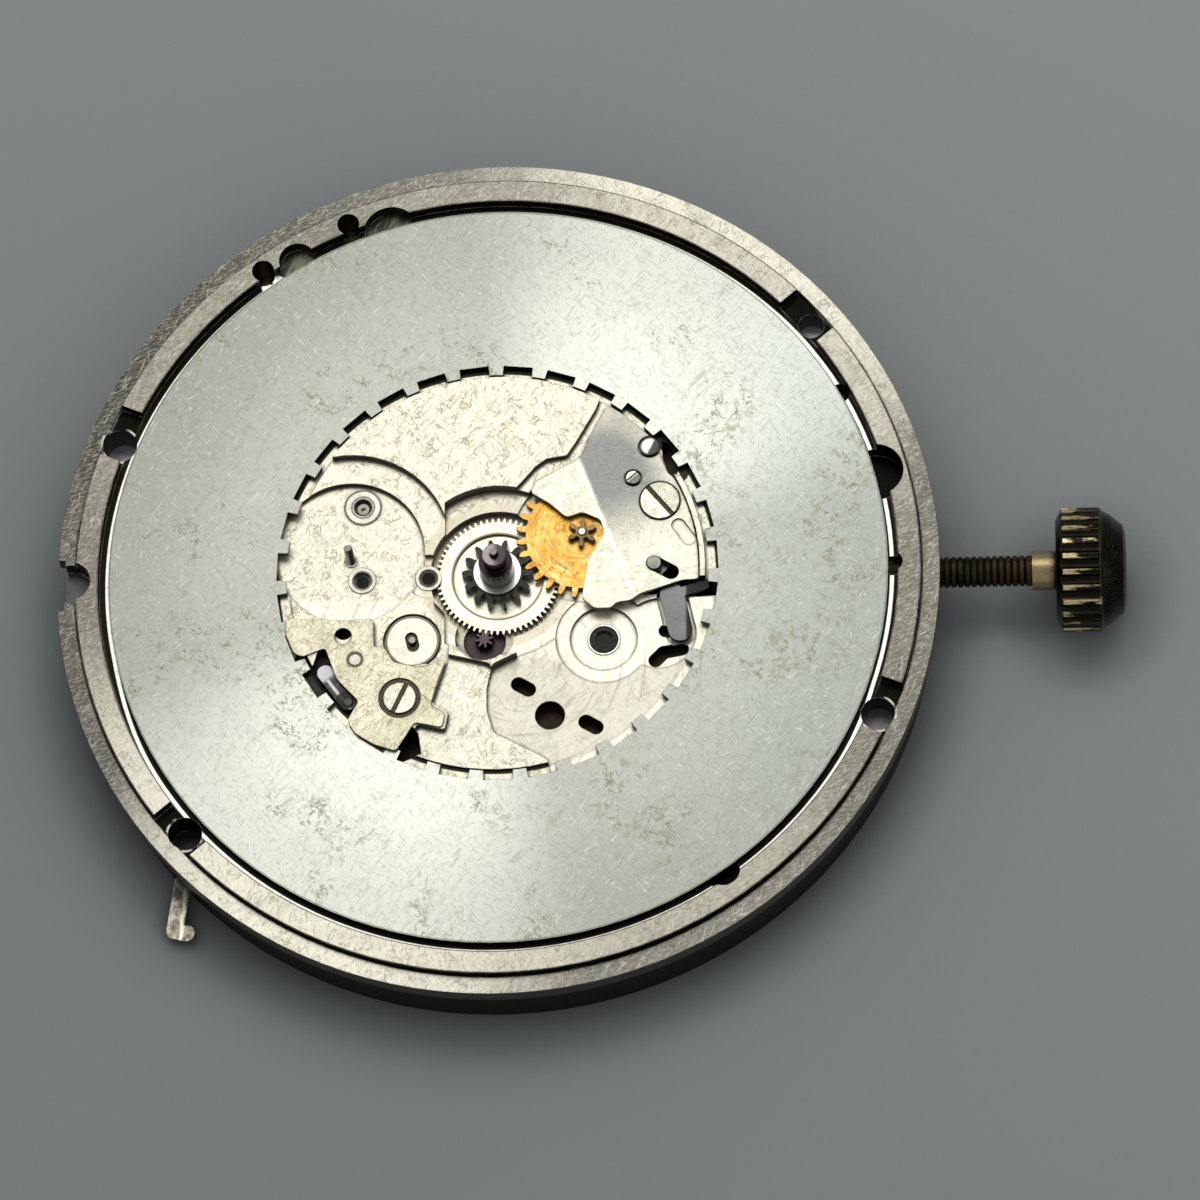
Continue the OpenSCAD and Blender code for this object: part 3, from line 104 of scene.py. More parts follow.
class Finish:
    """One procedural material. Its methods add nodes and return their outputs, in millimetres."""

    def __init__(self, name, edge=0.0):
        """Its edges look rounded, to a radius of edge."""
        self.material = bpy.data.materials.new(name)
        self.material.use_nodes = True
        self.tree = self.material.node_tree
        self.tree.nodes.clear()
        coordinates = self.add("ShaderNodeTexCoord").outputs["Object"]
        self.position = self.scaled(coordinates, 1 / MM)
        drift = self.add("ShaderNodeTexNoise",
                         {"Vector": self.position, "Scale": 0.6, "Detail": 1.0})
        shift = self.vector("MULTIPLY", drift.outputs["Color"], (0.7, 0.7, 0.0))
        self.drifted = self.vector("ADD", shift, self.position)
        self.geometry = self.add("ShaderNodeNewGeometry")
        self.soft_normal = None
        if edge:
            bevel = self.add("ShaderNodeBevel", {"Radius": edge * MM}, samples=3)
            self.soft_normal = bevel.outputs[0]

    def add(self, kind, inputs=None, **settings):
        """Adds a node. An input is another node's output or a plain value."""
        node = self.tree.nodes.new(kind)
        for key, value in settings.items():
            setattr(node, key, value)
        for key, value in (inputs or {}).items():
            socket = node.inputs[key]
            if isinstance(value, bpy.types.NodeSocket):
                self.tree.links.new(value, socket)
            else:
                socket.default_value = value
        return node

    def vector(self, operation, a, b=(0, 0, 0), output="Vector"):
        return self.add("ShaderNodeVectorMath", {0: a, 1: b}, operation=operation).outputs[output]

    def scaled(self, vector, factor):
        node = self.add("ShaderNodeVectorMath", {0: vector, "Scale": factor}, operation="SCALE")
        return node.outputs[0]

    def math(self, operation, a, b=0.0):
        return self.add("ShaderNodeMath", {0: a, 1: b}, operation=operation).outputs[0]

    def fold(self, operation, values):
        total = values[0]
        for value in values[1:]:
            total = self.math(operation, total, value)
        return total

    def times(self, *values):
        return self.fold("MULTIPLY", values)

    def most(self, *values):
        return self.fold("MAXIMUM", values)

    def mix(self, factor, a, b):
        """A colour between a and b."""
        node = self.add("ShaderNodeMix", data_type="RGBA")
        for index, value in ((0, factor), (6, a), (7, b)):
            if isinstance(value, bpy.types.NodeSocket):
                self.tree.links.new(value, node.inputs[index])
            elif index:
                node.inputs[index].default_value = (*value, 1)
            else:
                node.inputs[index].default_value = value
        return node.outputs[2]

    def band(self, value, low, high, start=0.0, end=1.0):
        """Goes smoothly from start to end as the value goes from low to high."""
        limits = {"Value": value, "From Min": low, "From Max": high, "To Min": start, "To Max": end}
        return self.add("ShaderNodeMapRange", limits, interpolation_type="SMOOTHSTEP").outputs[0]

    def line(self, value, centre, width, core):
        """1 where the value is within core of the centre, and 0 from width outwards."""
        return self.band(self.math("ABSOLUTE", self.math("SUBTRACT", value, centre)), width, core)

    def noise(self, vector, scale=1.0, detail=3.0, roughness=0.55):
        inputs = {"Vector": vector, "Scale": scale, "Detail": detail, "Roughness": roughness}
        return self.add("ShaderNodeTexNoise", inputs).outputs[0]

    # Places

    def place(self, at=(0, 0, 0), turn=0.0, scale=(1, 1, 1), start=None):
        """The point as seen from `at`, turned about Z and then stretched."""
        moved = self.vector("SUBTRACT", start or self.position, (*at, 0)[:3])
        if turn:
            inputs = {"Vector": moved, "Angle": math.radians(-turn)}
            moved = self.add("ShaderNodeVectorRotate", inputs, rotation_type="Z_AXIS").outputs[0]
        return self.vector("MULTIPLY", moved, scale)

    def part(self, vector, axis):
        """One coordinate of a vector."""
        return self.add("ShaderNodeSeparateXYZ", {0: vector}).outputs["XYZ".index(axis)]

    def ramp(self, axis, low, high, start=0.0, end=1.0):
        """A band along an axis."""
        return self.band(self.part(self.position, axis), low, high, start, end)

    def distance(self, at, across=(1, 1, 0)):
        """Distance from a point's upright line, or with (0, 1, 1) from its line along X."""
        return self.vector("LENGTH", self.place(at, scale=across), output="Value")

    def near(self, at, radius, blur=0.03):
        """1 inside an upright cylinder and 0 outside."""
        return self.band(self.distance(at), radius + blur, radius - blur)

    def hoop(self, at, radius, width):
        """1 on an upright wall of that radius and 0 away from it."""
        return self.line(self.distance(at), radius, width, width * 0.4)

    def slab(self, at, turn, half_x, half_y, blur=0.03):
        """1 inside an upright box and 0 outside."""
        turned = self.place(at, turn)
        x = self.line(self.part(turned, "X"), 0.0, half_x + blur, half_x - blur)
        y = self.line(self.part(turned, "Y"), 0.0, half_y + blur, half_y - blur)
        return self.times(x, y)

    def below(self, z, blur):
        """1 below a height and 0 above it."""
        return self.ramp("Z", z + blur, z - blur)

    def above(self, z, blur):
        return self.ramp("Z", z - blur, z + blur)

    # Faces and edges

    def facing(self, axis):
        """How far a face looks along an axis, from -1 to 1."""
        return self.part(self.geometry.outputs["True Normal"], axis)

    def upright(self):
        """1 on faces that stand upright and 0 on level ones."""
        return self.line(self.facing("Z"), 0.0, 0.8, 0.4)

    def upward(self):
        """1 on faces that look up."""
        return self.band(self.facing("Z"), 0.2, 0.8)

    def edges(self, low=0.995, high=0.86):
        """1 on sharp edges and 0 on open faces."""
        normal = self.geometry.outputs["Normal"]
        dot = self.vector("DOT_PRODUCT", self.soft_normal, normal, output="Value")
        return self.band(dot, low, high)

    def thin_edges(self):
        """As edges, and fuller."""
        return self.edges(0.998, 0.95)

    def corners(self, reach):
        """1 in deep corners and 0 in the open."""
        node = self.add("ShaderNodeAmbientOcclusion", {"Distance": reach * MM}, samples=3)
        return self.band(node.outputs["AO"], 0.9, 0.58)

    # Painted light on turned metal

    def glow(self, turn, narrow):
        """1 in one direction from the centre and 0 away from it: a painted highlight, as turned
        metal catches light.
        """
        cosine = self.math("DIVIDE", self.part(self.place(turn=turn), "X"), self.distance(CENTRE))
        return self.band(cosine, narrow, 1.0)

    def lit(self, base, glows):
        """A grey level: the base and glows, each a direction, how narrow it is and its share."""
        total = base
        for turn, narrow, share in glows:
            total = self.math("ADD", total, self.times(self.glow(turn, narrow), share))
        return total

    def tint(self, grey, colour):
        """A colour of that grey level."""
        return self.scaled(colour, grey)

    # Marks

    def scratches(self, turn, width, length, amount, seed=0.0):
        """Thin lines near one direction: 1 on a line and 0 elsewhere."""
        stretch = (1 / length, 1 / width, 1 / width)
        stretched = self.place((seed, seed * 1.7, 0), turn, stretch, self.drifted)
        return self.band(self.noise(stretched, 1.0, 1.5, 0.6), 0.74 - amount, 0.79 - amount)

    def crossed(self, width, length, amount, turns, seed=0.0):
        """Scratches in several directions."""
        return self.most(*(self.scratches(turn, width, length, amount, seed + 11.3 * step)
                           for step, turn in enumerate(turns)))

    def scribbles(self, scale, seed=0.0, width=0.04):
        """Short curly marks, in patches: 1 on a line."""
        value = self.noise(self.place((seed, 3.1 + seed, 0), start=self.drifted), scale, 2.5, 0.6)
        patches = self.band(self.noise(self.place((seed, 0, 0)), scale * 0.6, 2.0), 0.5, 0.58)
        return self.times(self.line(value, 0.5, width, width * 0.3), patches)

    def swirls(self, at, width, seed=0.0):
        """Fine arcs round a centre, as a grinding tool leaves them: 1 on a line."""
        outward = self.times(self.distance(at), 1 / width)
        angle = self.add("ShaderNodeTexGradient", {"Vector": self.place(at)},
                         gradient_type="RADIAL")
        around = self.times(angle.outputs[1], 9.0)
        vector = self.add("ShaderNodeCombineXYZ", {0: outward, 1: around, 2: seed}).outputs[0]
        return self.band(self.noise(vector, 1.0, 2.0), 0.56, 0.66)

    def finish(self, colour, rough, height, depth, **fixed):
        """Ends the material. The height is a bump of that depth. Fixed are plain shader values."""
        bump = self.add("ShaderNodeBump",
                        {"Height": height, "Distance": depth * MM, "Strength": 1.0})
        if self.soft_normal:
            self.tree.links.new(self.soft_normal, bump.inputs["Normal"])
        inputs = {"Base Color": colour, "Roughness": rough, "Normal": bump.outputs[0], **fixed}
        shader = self.add("ShaderNodeBsdfPrincipled", inputs)
        self.add("ShaderNodeOutputMaterial", {"Surface": shader.outputs[0]})
        return self.material


def add_floor():
    f = Finish("floor")
    # Painted light: the floor is lighter towards the upper right
    tone = f.band(f.part(f.place(turn=62), "X"), -45, 45)
    uneven = f.times(f.noise(f.place(), 0.02, 2.0), 0.3)
    shade = f.math("ADD", f.times(tone, 0.8), uneven)
    colour = f.mix(shade, (0.207, 0.221, 0.218), (0.345, 0.372, 0.365))
    # Painted shadow: darker at the object's foot, on the side away from the window
    colour = f.mix(f.times(f.corners(2.0), f.ramp("Y", 10, -2), 0.6), colour, (0.04, 0.043, 0.045))
    colour = f.mix(f.times(f.corners(0.7), f.ramp("Y", 4, -6), 0.5), colour, (0.03, 0.032, 0.033))
    material = f.finish(colour, 0.85, f.noise(f.place(), 6.0, 2.0), 0.01)
    mesh = bpy.data.meshes.new("floor")
    half, low = 2.0, cad_box[0].z
    outline = [(-half, -half, low), (half, -half, low), (half, half, low), (-half, half, low)]
    mesh.from_pydata(outline, [], [(0, 1, 2, 3)])
    floor = bpy.data.objects.new("floor", mesh)
    scene.collection.objects.link(floor)
    mesh.materials.append(material)


def add_lamp(name, at, size, radiance, colour):
    """A soft box that faces the object's centre. Its power follows from how bright it looks."""
    data = bpy.data.lights.new(name, "AREA")
    data.shape = "RECTANGLE"
    data.size, data.size_y = size
    data.energy = radiance * math.pi * size[0] * size[1]
    data.color = colour
    lamp = bpy.data.objects.new(name, data)
    scene.collection.objects.link(lamp)
    place = Vector(at)
    facing = place.to_track_quat("Z", "Y").to_matrix().to_4x4()
    lamp.matrix_world = Matrix.Translation(place) @ facing


def add_light():
    world = bpy.data.worlds.new("world")
    scene.world = world
    world.use_nodes = True
    back = world.node_tree.nodes["Background"]
    back.inputs["Color"].default_value = (0.96, 0.98, 1.0, 1)
    back.inputs["Strength"].default_value = 0.5
    add_lamp("window", (0.05, 0.28, 0.55), (0.5, 0.35), 1.6, (1.0, 1.0, 0.99))
    add_lamp("side", (0.5, -0.1, 0.35), (0.25, 0.4), 0.9, (0.98, 0.99, 1.0))


# Places in millimetres, as seen from above

CENTRE = (0, 0)
CORRECTOR = middle("corrector_disc")
THIRD_WHEEL = middle("third_wheel")
MINUTE_WHEEL = middle("minute_wheel")
BATTERY = middle("battery")
JUMPER_SCREW = middle("jumper_screw")
KEEPER_SCREW = middle("date_keeper_screw")
LEVER_PIVOT = middle("setting_lever_pivot")
# Single ones of the steady pins and of the bushings, and the dark end of the date jumper
STEADY_PIN = (4.01, 2.84)
SLOTTED_PIN = (4.5, 3.82)
KEEPER_PIN = (-4.15, -2.73)
SQUARE_BUSHING = (-4.01, 2.24)
LEFT_BUSHING = (-4.01, -0.07)
BOSS_BUSHING = (-2.05, -0.05)
BRIGHT_BUSHING = (3.12, -2.05)
DATE_PIVOT = (-4.42, -3.95)
# Centres of the grinding marks on two levels of the plate
GROUND = (1.6, -4.5)
MILLED = (0.7, -2.8)
# The hole under the keeper plate, and the notch of the flange
KEEPER_HOLE = (-4.51, -1.81)
FLANGE_NOTCH = (-12.6, -0.1)
# Two painted glints of the date channel, each with its radius
GLINTS = (((-6.62, 9.52), 0.17), ((-6.95, 9.3), 0.15))

# Radii of the island, of the date ring and its channel, of the seat's inner edge, of the circle
# of the dial feet and of the seat
ISLAND_R = 6.4
RING_R = 11.46
CHANNEL_R = 11.79
SEAT_INNER_R = 11.8
FEET_R = 12.05
SEAT_R = 12.45
# Height of the stem, and the height below which a cut of the seat is painted, with its blur
STEM_Z = -1.05
SEAT_CUT = (-0.2, 0.1)

# The dial feet's bores: direction of the bore and of its slot, radius, and how light the floor is
# painted, as painted light and shade
WIDE_BORE_R = 0.5
FEET = ((39.5, 40.6, 0.38, 0.6), (159, 157.8, WIDE_BORE_R, 0.6), (221, 220.5, WIDE_BORE_R, 0.03),
        (337.5, 338.4, WIDE_BORE_R, 0.2))
# Black notches of the seat: distance from the centre, direction and radius
NOTCHES = ((11.55, 14.5, 0.82), (11.62, 0, 0.34), (11.5, 305, 0.52), (11.5, 28.5, 0.32))
# Scallops of the seat, in the same form
SCALLOPS = ((11.66, 121, 0.58), (11.4, 106.5, 0.8))
SEAT_HOLE_DIRS = (126, 112)
SEAT_HOLE_R = 0.34

# Directions in degrees of painted highlights, with how narrow and how bright each one is; a
# negative brightness paints shade
SEAT_GLOWS = ((45, 0.72, 0.28), (85, 0.85, 0.10), (145, 0.85, 0.09), (238, 0.58, 0.52),
              (300, 0.85, 0.17))
FLANGE_GLOWS = ((54, 0.72, 0.50), (90, 0.85, 0.07), (245, 0.78, 0.62), (300, 0.85, 0.10),
                (350, 0.85, 0.06), (150, 0.9, -0.04))
RING_GLOWS = ((52, 0.72, 0.30), (240, 0.68, 0.37))

# Materials

# The near black of painted shade on walls, deep floors and corners
SOOT_AND_SHADE = (0.022, 0.018, 0.012)
BLACK = (0.012, 0.012, 0.01)
# The dark of the edge lines
EDGE_DARK = (0.045, 0.036, 0.022)
IVORY = (0.84, 0.79, 0.64)


class Metal(Finish):
    """A worn metal, painted in layers from the lowest up. Each layer changes the colour."""

    def __init__(self, name, light, dark, cloud=0.9, edge=0.02):
        super().__init__(name, edge)
        self.tone = self.band(self.noise(self.place(), cloud, 4.0), 0.35, 0.65)
        self.colour = self.mix(self.tone, light, dark)
        self.relief = self.times(self.noise(self.place(), 9.0), 0.25)

    def paint(self, mask, colour, share=1.0):
        self.colour = self.mix(self.times(mask, share), self.colour, colour)
        return self

    def engrave(self, lines, colour, share):
        """Paints lines and cuts them in."""
        self.relief = self.math("SUBTRACT", self.relief, self.times(lines, 0.5))
        return self.paint(lines, colour, share)

    def scratch(self, colour, share=0.4, width=0.03, length=0.6, amount=0.09,
                turns=(35, -40, 80, 5), seed=0.0):
        return self.engrave(self.crossed(width, length, amount, turns, seed), colour, share)

    def scribble(self, colour, share=0.4, scale=2.6, seed=0.0, width=0.04):
        return self.engrave(self.scribbles(scale, seed, width), colour, share)

    def stain(self, colour, share=0.6, amount=0.05, scale=2.4, seed=3.0):
        grains = self.noise(self.place((seed, 1, 0)), scale, 6.0, 0.75)
        return self.paint(self.band(grains, 0.72 - amount, 0.78 - amount), colour, share)

    def paint_top(self, mask, colour, share=1.0):
        """Paints only the faces that look up."""
        return self.paint(self.times(mask, self.upward()), colour, share)

    def sides(self, colour=SOOT_AND_SHADE, share=0.93):
        """Painted shade on upright faces, for the dark room that they mirror."""
        return self.paint(self.upright(), colour, share)

    def dirt_and_shade(self, reach=0.12, share=0.85, colour=SOOT_AND_SHADE):
        """Dirt and painted shade in the corners."""
        return self.paint(self.corners(reach), colour, share)

    def shine(self, colour, share=0.6):
        """Worn edges of the level faces, with painted highlights."""
        return self.paint_top(self.edges(), colour, share)

    def outline(self, share=0.75, colour=EDGE_DARK):
        """Darkens the edges of the level faces."""
        return self.paint_top(self.thin_edges(), colour, share)

    def end(self, rough=0.35, depth=0.003, metallic=1.0):
        return self.finish(self.colour, rough, self.relief, depth, Metallic=metallic)


def paint_island(m, island):
    """Scratches, curly marks and stains, and the arcs that tools left on two of the levels."""
    m.scratch((0.46, 0.42, 0.31), 0.5, 0.035, 0.8, 0.095, (42, -48, 58))
    m.scratch((0.97, 0.95, 0.86), turns=(38, -52), seed=21)
    m.paint(m.crossed(0.05, 0.35, 0.10, (50, -35, 85), 51.0), (0.30, 0.26, 0.16), 0.6)
    m.scribble((0.26, 0.23, 0.13), 0.6, 3.6, width=0.045)
    m.stain((0.26, 0.21, 0.11), 0.6, 0.03, 2.6)
    ground = m.times(m.near(GROUND, 3.1), m.below(-0.27, 0.02), m.above(-0.40, 0.05))
    m.paint(m.times(ground, m.swirls(GROUND, 0.09)), (0.97, 0.96, 0.88), 0.6)
    m.paint(m.times(ground, m.swirls((1.7, -4.4), 0.07, 5.0)), (0.5, 0.47, 0.38), 0.45)
    milled = m.times(m.ramp("Y", -0.6, -0.8), m.below(-0.41, 0.01), island)
    m.paint(milled, (0.92, 0.88, 0.73), 0.7)
    m.paint(m.times(milled, m.swirls(MILLED, 0.16, 2.0)), (0.94, 0.92, 0.82), 0.6)
    m.paint(m.times(milled, m.swirls(MILLED, 0.12, 8.0)), (0.46, 0.43, 0.33), 0.45)


def paint_rim(m, rim, radius):
    """The seat and the flange get painted highlights on two sides, more at the lower left."""
    seat = m.tint(m.lit(0.17, SEAT_GLOWS), (1.06, 1.0, 0.82))
    flange = m.tint(m.lit(0.10, FLANGE_GLOWS), (1.05, 1.0, 0.83))
    shade = m.mix(m.band(radius, SEAT_R - 0.01, SEAT_R + 0.03), seat, flange)
    radial = m.band(m.noise(m.place(turn=20, scale=(4.0, 24, 0))), 0.48, 0.62)
    shade = m.mix(m.times(radial, 0.2), shade, (0.88, 0.83, 0.70))
    warm = m.band(m.noise(m.place(), 1.1, 5.0, 0.7), 0.5, 0.64)
    warm_shade = m.tint(m.lit(0.14, ((240, 0.2, 0.25),)), (1.12, 1.0, 0.88))
    shade = m.mix(m.times(warm, 0.25), shade, warm_shade)
    m.paint(rim, shade)
    brushed = m.crossed(0.05, 0.6, 0.11, (62, 78, 35), 14.0)
    m.paint(m.times(rim, brushed), m.mix(0.5, shade, (0.93, 0.91, 0.80)), 0.5)
    ticks = m.crossed(0.04, 0.4, 0.09, (55, -60, 90), 29.0)
    m.paint(m.times(rim, ticks), m.mix(0.6, shade, (0.04, 0.035, 0.02)), 0.6)
    m.paint(m.times(rim, m.scribbles(4.2, 4.0)), (0.12, 0.10, 0.065), 0.45)
    milled = m.times(rim, m.ramp("Y", -6, -9), m.band(radius, 12.4, 12.3))
    m.paint(m.times(milled, m.scratches(86, 0.06, 0.5, 0.14, 40.0)), (0.33, 0.29, 0.20), 0.55)
    # Painted shade: dark lines at the seat's two edges
    m.paint(m.hoop(CENTRE, SEAT_R, 0.045), (0.03, 0.025, 0.015), 0.85)
    m.paint_top(m.hoop(CENTRE, SEAT_INNER_R, 0.03), (0.06, 0.05, 0.03), 0.8)


def paint_case_side(m, radius):
    """Painted shade: the side of the case is nearly black below the grey edge of its flange."""
    m.paint(m.below(-1.25, 0.35), (0.035, 0.034, 0.022), 0.94)
    m.sides((0.022, 0.018, 0.010), 0.95)
    flange_edge = m.times(m.upright(), m.band(radius, 12.7, 12.76), m.above(-0.86, 0.02))
    m.paint(flange_edge, (0.16, 0.155, 0.12), 0.6)


def paint_wells(m, wells):
    """Painted shade on the floors of the wells, darker from the highest to the lowest."""
    m.paint(m.times(wells, m.below(-0.715, 0.035)), (0.30, 0.24, 0.17), 0.95)
    step = m.times(wells, m.below(-0.775, 0.025), m.near(THIRD_WHEEL, 0.85))
    m.paint(step, (0.36, 0.32, 0.31), 0.9)
    floor = m.times(wells, m.below(-0.91, 0.02), m.near(THIRD_WHEEL, 0.64))
    m.paint(floor, (0.055, 0.04, 0.042), 0.95)
    m.paint(m.times(wells, m.below(-0.98, 0.01)), SOOT_AND_SHADE, 0.98)


def paint_seat_holes(m, rim):
    """Painted shade: dark holes with a lighter brown stripe at their middle, streaked dark
    scallops, and the black hole under the keeper.
    """
    # Painted shade in the deep holes, with a lighter brown stripe at their middle
    for turn in SEAT_HOLE_DIRS:
        at = polar(12.0, turn)
        middle_stripe = m.line(m.part(m.place(at), "X"), 0.0, 0.2, 0.05)
        hole = m.times(m.near(at, SEAT_HOLE_R, 0.01), m.below(*SEAT_CUT))
        m.paint(hole, m.mix(middle_stripe, (0.03, 0.026, 0.016), (0.30, 0.21, 0.11)))
    # Painted shade in the scallops, streaked lighter
    for distance, turn, size in SCALLOPS:
        streaks = m.band(m.noise(m.place(turn=60, scale=(1, 4, 1)), 1.6, 2.0), 0.42, 0.58)
        scallop = m.times(m.near(polar(distance, turn), size), m.below(-0.4125, 0.0075), rim)
        m.paint(scallop, m.mix(streaks, (0.035, 0.036, 0.026), (0.13, 0.125, 0.095)), 0.97)
    # Painted shade: the hole under the keeper is black
    keeper_hole = m.times(m.near(KEEPER_HOLE, 0.27, 0.01), m.below(-0.22, 0.08))
    m.paint(keeper_hole, (0.035, 0.03, 0.008), 0.97)


def paint_feet(m):
    """Painted shade: black slots round the dial feet's bores, whose floors are painted grey as
    light and shade. Wide bores have a light mouth.
    """
    for bore_dir, slot_dir, radius, floor_grey in FEET:
        at = polar(FEET_R, bore_dir)
        sunk = m.below(*SEAT_CUT)
        slot = m.slab(polar(12.12, slot_dir), slot_dir, 0.37, 0.825, 0.01)
        m.paint(m.times(slot, sunk), (0.006, 0.007, 0.005))
        if radius == WIDE_BORE_R:
            ragged = m.band(m.noise(m.place(at), 2.2, 2.0), 0.42, 0.56)
            mouth = m.times(m.hoop(at, radius + 0.03, 0.05), sunk, ragged)
            m.paint_top(mouth, (0.62, 0.58, 0.48), 0.85)
        # Painted light and shade: each bore's floor gets its own grey
        floor = m.times(m.near(at, radius), m.below(-1.15, 0.05))
        m.paint_top(floor, m.tint(floor_grey, (1.0, 0.93, 0.97)))


def paint_notches(m):
    """Painted shade: black notches of the seat, and the grey floor of the flange's notch."""
    for distance, turn, size in NOTCHES:
        notch = m.times(m.near(polar(distance, turn), size, 0.01), m.below(*SEAT_CUT))
        m.paint(notch, (0.007, 0.006, 0.005))
    notch_floor = m.times(m.near(FLANGE_NOTCH, 0.63, 0.01), m.below(-0.75, 0.05))
    m.paint_top(notch_floor, (0.085, 0.088, 0.086))


def paint_channel(m, radius):
    """The date channel, in painted light and shade: a bright line outside the ring, and black where
    the notches show its floor.
    """
    channel = m.times(m.below(-0.36, 0.02), m.upward(), m.above(-0.435, 0.015))
    # Painted shade: the channel's ledge is black
    ledge = m.times(channel, m.band(radius, 11.40, 11.45),
                    m.band(radius, CHANNEL_R, CHANNEL_R - 0.05))
    m.paint(ledge, (0.012, 0.012, 0.008))
    # Painted highlight: a bright line beside the ring, and beside the seat along the bottom
    bright_r = m.most(m.ramp("Y", -2, -6, 11.54, 11.69), m.ramp("X", 6, 11, 11.54, 11.6))
    bright = m.line(radius, bright_r, 0.07, 0.04)
    glints = m.times(channel, m.most(*(m.near(at, size) for at, size in GLINTS)))
    m.paint(m.most(m.times(ledge, bright), glints), (1.0, 1.0, 0.93))
    # Painted shadow: black beside the date jumper and beside the setting lever jumper's post
    beside = m.most(m.near((-5.1, -2.9), 0.95, 0.05), m.near((4.95, 3.85), 0.55),
                    m.near((5.3, 3.1), 0.35))
    m.paint(m.times(channel, beside), BLACK, 0.97)
    # Painted shadow: black at the outer wall of each notch, deeper at the top, and in the gap along
    # the bottom
    slanted = m.math("ADD", radius, m.times(m.part(m.position, "Y"), 0.0155))
    m.paint(m.times(channel, m.band(slanted, 6.41, 6.45), m.band(radius, 7.0, 6.9)), BLACK, 0.97)
    m.paint(m.times(channel, m.band(radius, 6.26, 6.23), m.ramp("Y", -2.0, -3.0)), BLACK, 0.97)


def plate_nickel():
    """The main plate: ivory island, stained flange, and painted shade that makes the wells dark and
    the walls nearly black.
    """
    m = Metal("plate_nickel", IVORY, (0.77, 0.73, 0.59), 0.7, edge=0.03)
    radius = m.distance(CENTRE)
    island = m.near(CENTRE, ISLAND_R, 0.05)
    rim = m.band(radius, 11.3, 11.5)
    wells = m.times(m.upward(), island)
    paint_island(m, island)
    paint_rim(m, rim, radius)
    paint_case_side(m, radius)
    paint_wells(m, wells)
    paint_seat_holes(m, rim)
    m.dirt_and_shade(0.12, 0.9)
    # Less painted shade: the driving wheel's well is lighter under the wheel's teeth
    under_teeth = m.times(wells, m.band(radius, 1.6, 1.7), m.band(radius, 2.35, 2.25),
                          m.above(-0.9, 0.02))
    m.paint(under_teeth, (0.62, 0.56, 0.42), 0.7)
    paint_feet(m)
    paint_notches(m)
    paint_channel(m, radius)
    m.paint_top(m.times(m.thin_edges(), island), EDGE_DARK, 0.8)
    # Worn, ragged edges of the rim with a painted highlight
    ragged = m.band(m.noise(m.place(), 1.7), 0.40, 0.56)
    m.paint_top(m.times(m.edges(), rim, ragged), (0.98, 0.96, 0.88), 0.8)
    return m.end(0.37)


def bridge_nickel():
    m = Metal("bridge_nickel", (0.74, 0.70, 0.58), (0.62, 0.58, 0.47))
    m.scratch((0.5, 0.46, 0.36), 0.4, 0.02, 0.6, 0.14, (8, -3))
    return m.sides(share=0.6).dirt_and_shade().shine((0.95, 0.93, 0.85)).end(0.32)


def keeper_nickel():
    m = Metal("keeper_nickel", (0.80, 0.76, 0.58), (0.66, 0.61, 0.44), 1.2, edge=0.035)
    m.scratch((0.34, 0.29, 0.17), 0.6, 0.03, 0.4, 0.105, (40, -35, 75))
    m.scratch((0.95, 0.91, 0.76), 0.6, 0.03, 0.5, 0.10, (52, -15), 9)
    m.scribble((0.30, 0.24, 0.11), 0.5, 4.8)
    m.paint(m.crossed(0.04, 0.25, 0.12, (60, -30), 63.0), (0.30, 0.25, 0.13), 0.55)
    m.stain((0.26, 0.20, 0.09), 0.55, 0.04, 2.8)
    # Painted shade: dark rings round the keeper screw and round the keeper pin
    m.paint_top(m.hoop(KEEPER_SCREW, 0.58, 0.05), (0.05, 0.04, 0.015), 0.85)
    m.paint_top(m.near(KEEPER_SCREW, 0.56), (0.04, 0.03, 0.01), 0.9)
    m.paint(m.hoop(KEEPER_PIN, 0.215, 0.06), (0.10, 0.08, 0.04), 0.9)
    return m.sides().dirt_and_shade().outline(0.8, (0.07, 0.055, 0.02)).end(0.38)


def disc_nickel():
    """The corrector disc, with fine turned lines, a dark ring of painted shade at its edge, and an
    oval hollow round its stud, painted black as shade.
    """
    m = Metal("disc_nickel", (0.84, 0.81, 0.68), (0.78, 0.74, 0.61), edge=0.03)
    m.paint(m.swirls(CORRECTOR, 0.1), (0.74, 0.70, 0.55), 0.35)
    m.scribble((0.55, 0.50, 0.36), 0.4, 4.5)
    # Painted shade: a dark ring at the disc's edge, and the hollow round the stud painted black
    m.paint_top(m.hoop(CORRECTOR, 0.77, 0.06), (0.10, 0.08, 0.05), 0.85)
    m.paint_top(m.below(-0.37, 0.01), (0.02, 0.02, 0.008), 0.95)
    return m.sides().dirt_and_shade(0.06).outline(0.6).end(0.38)


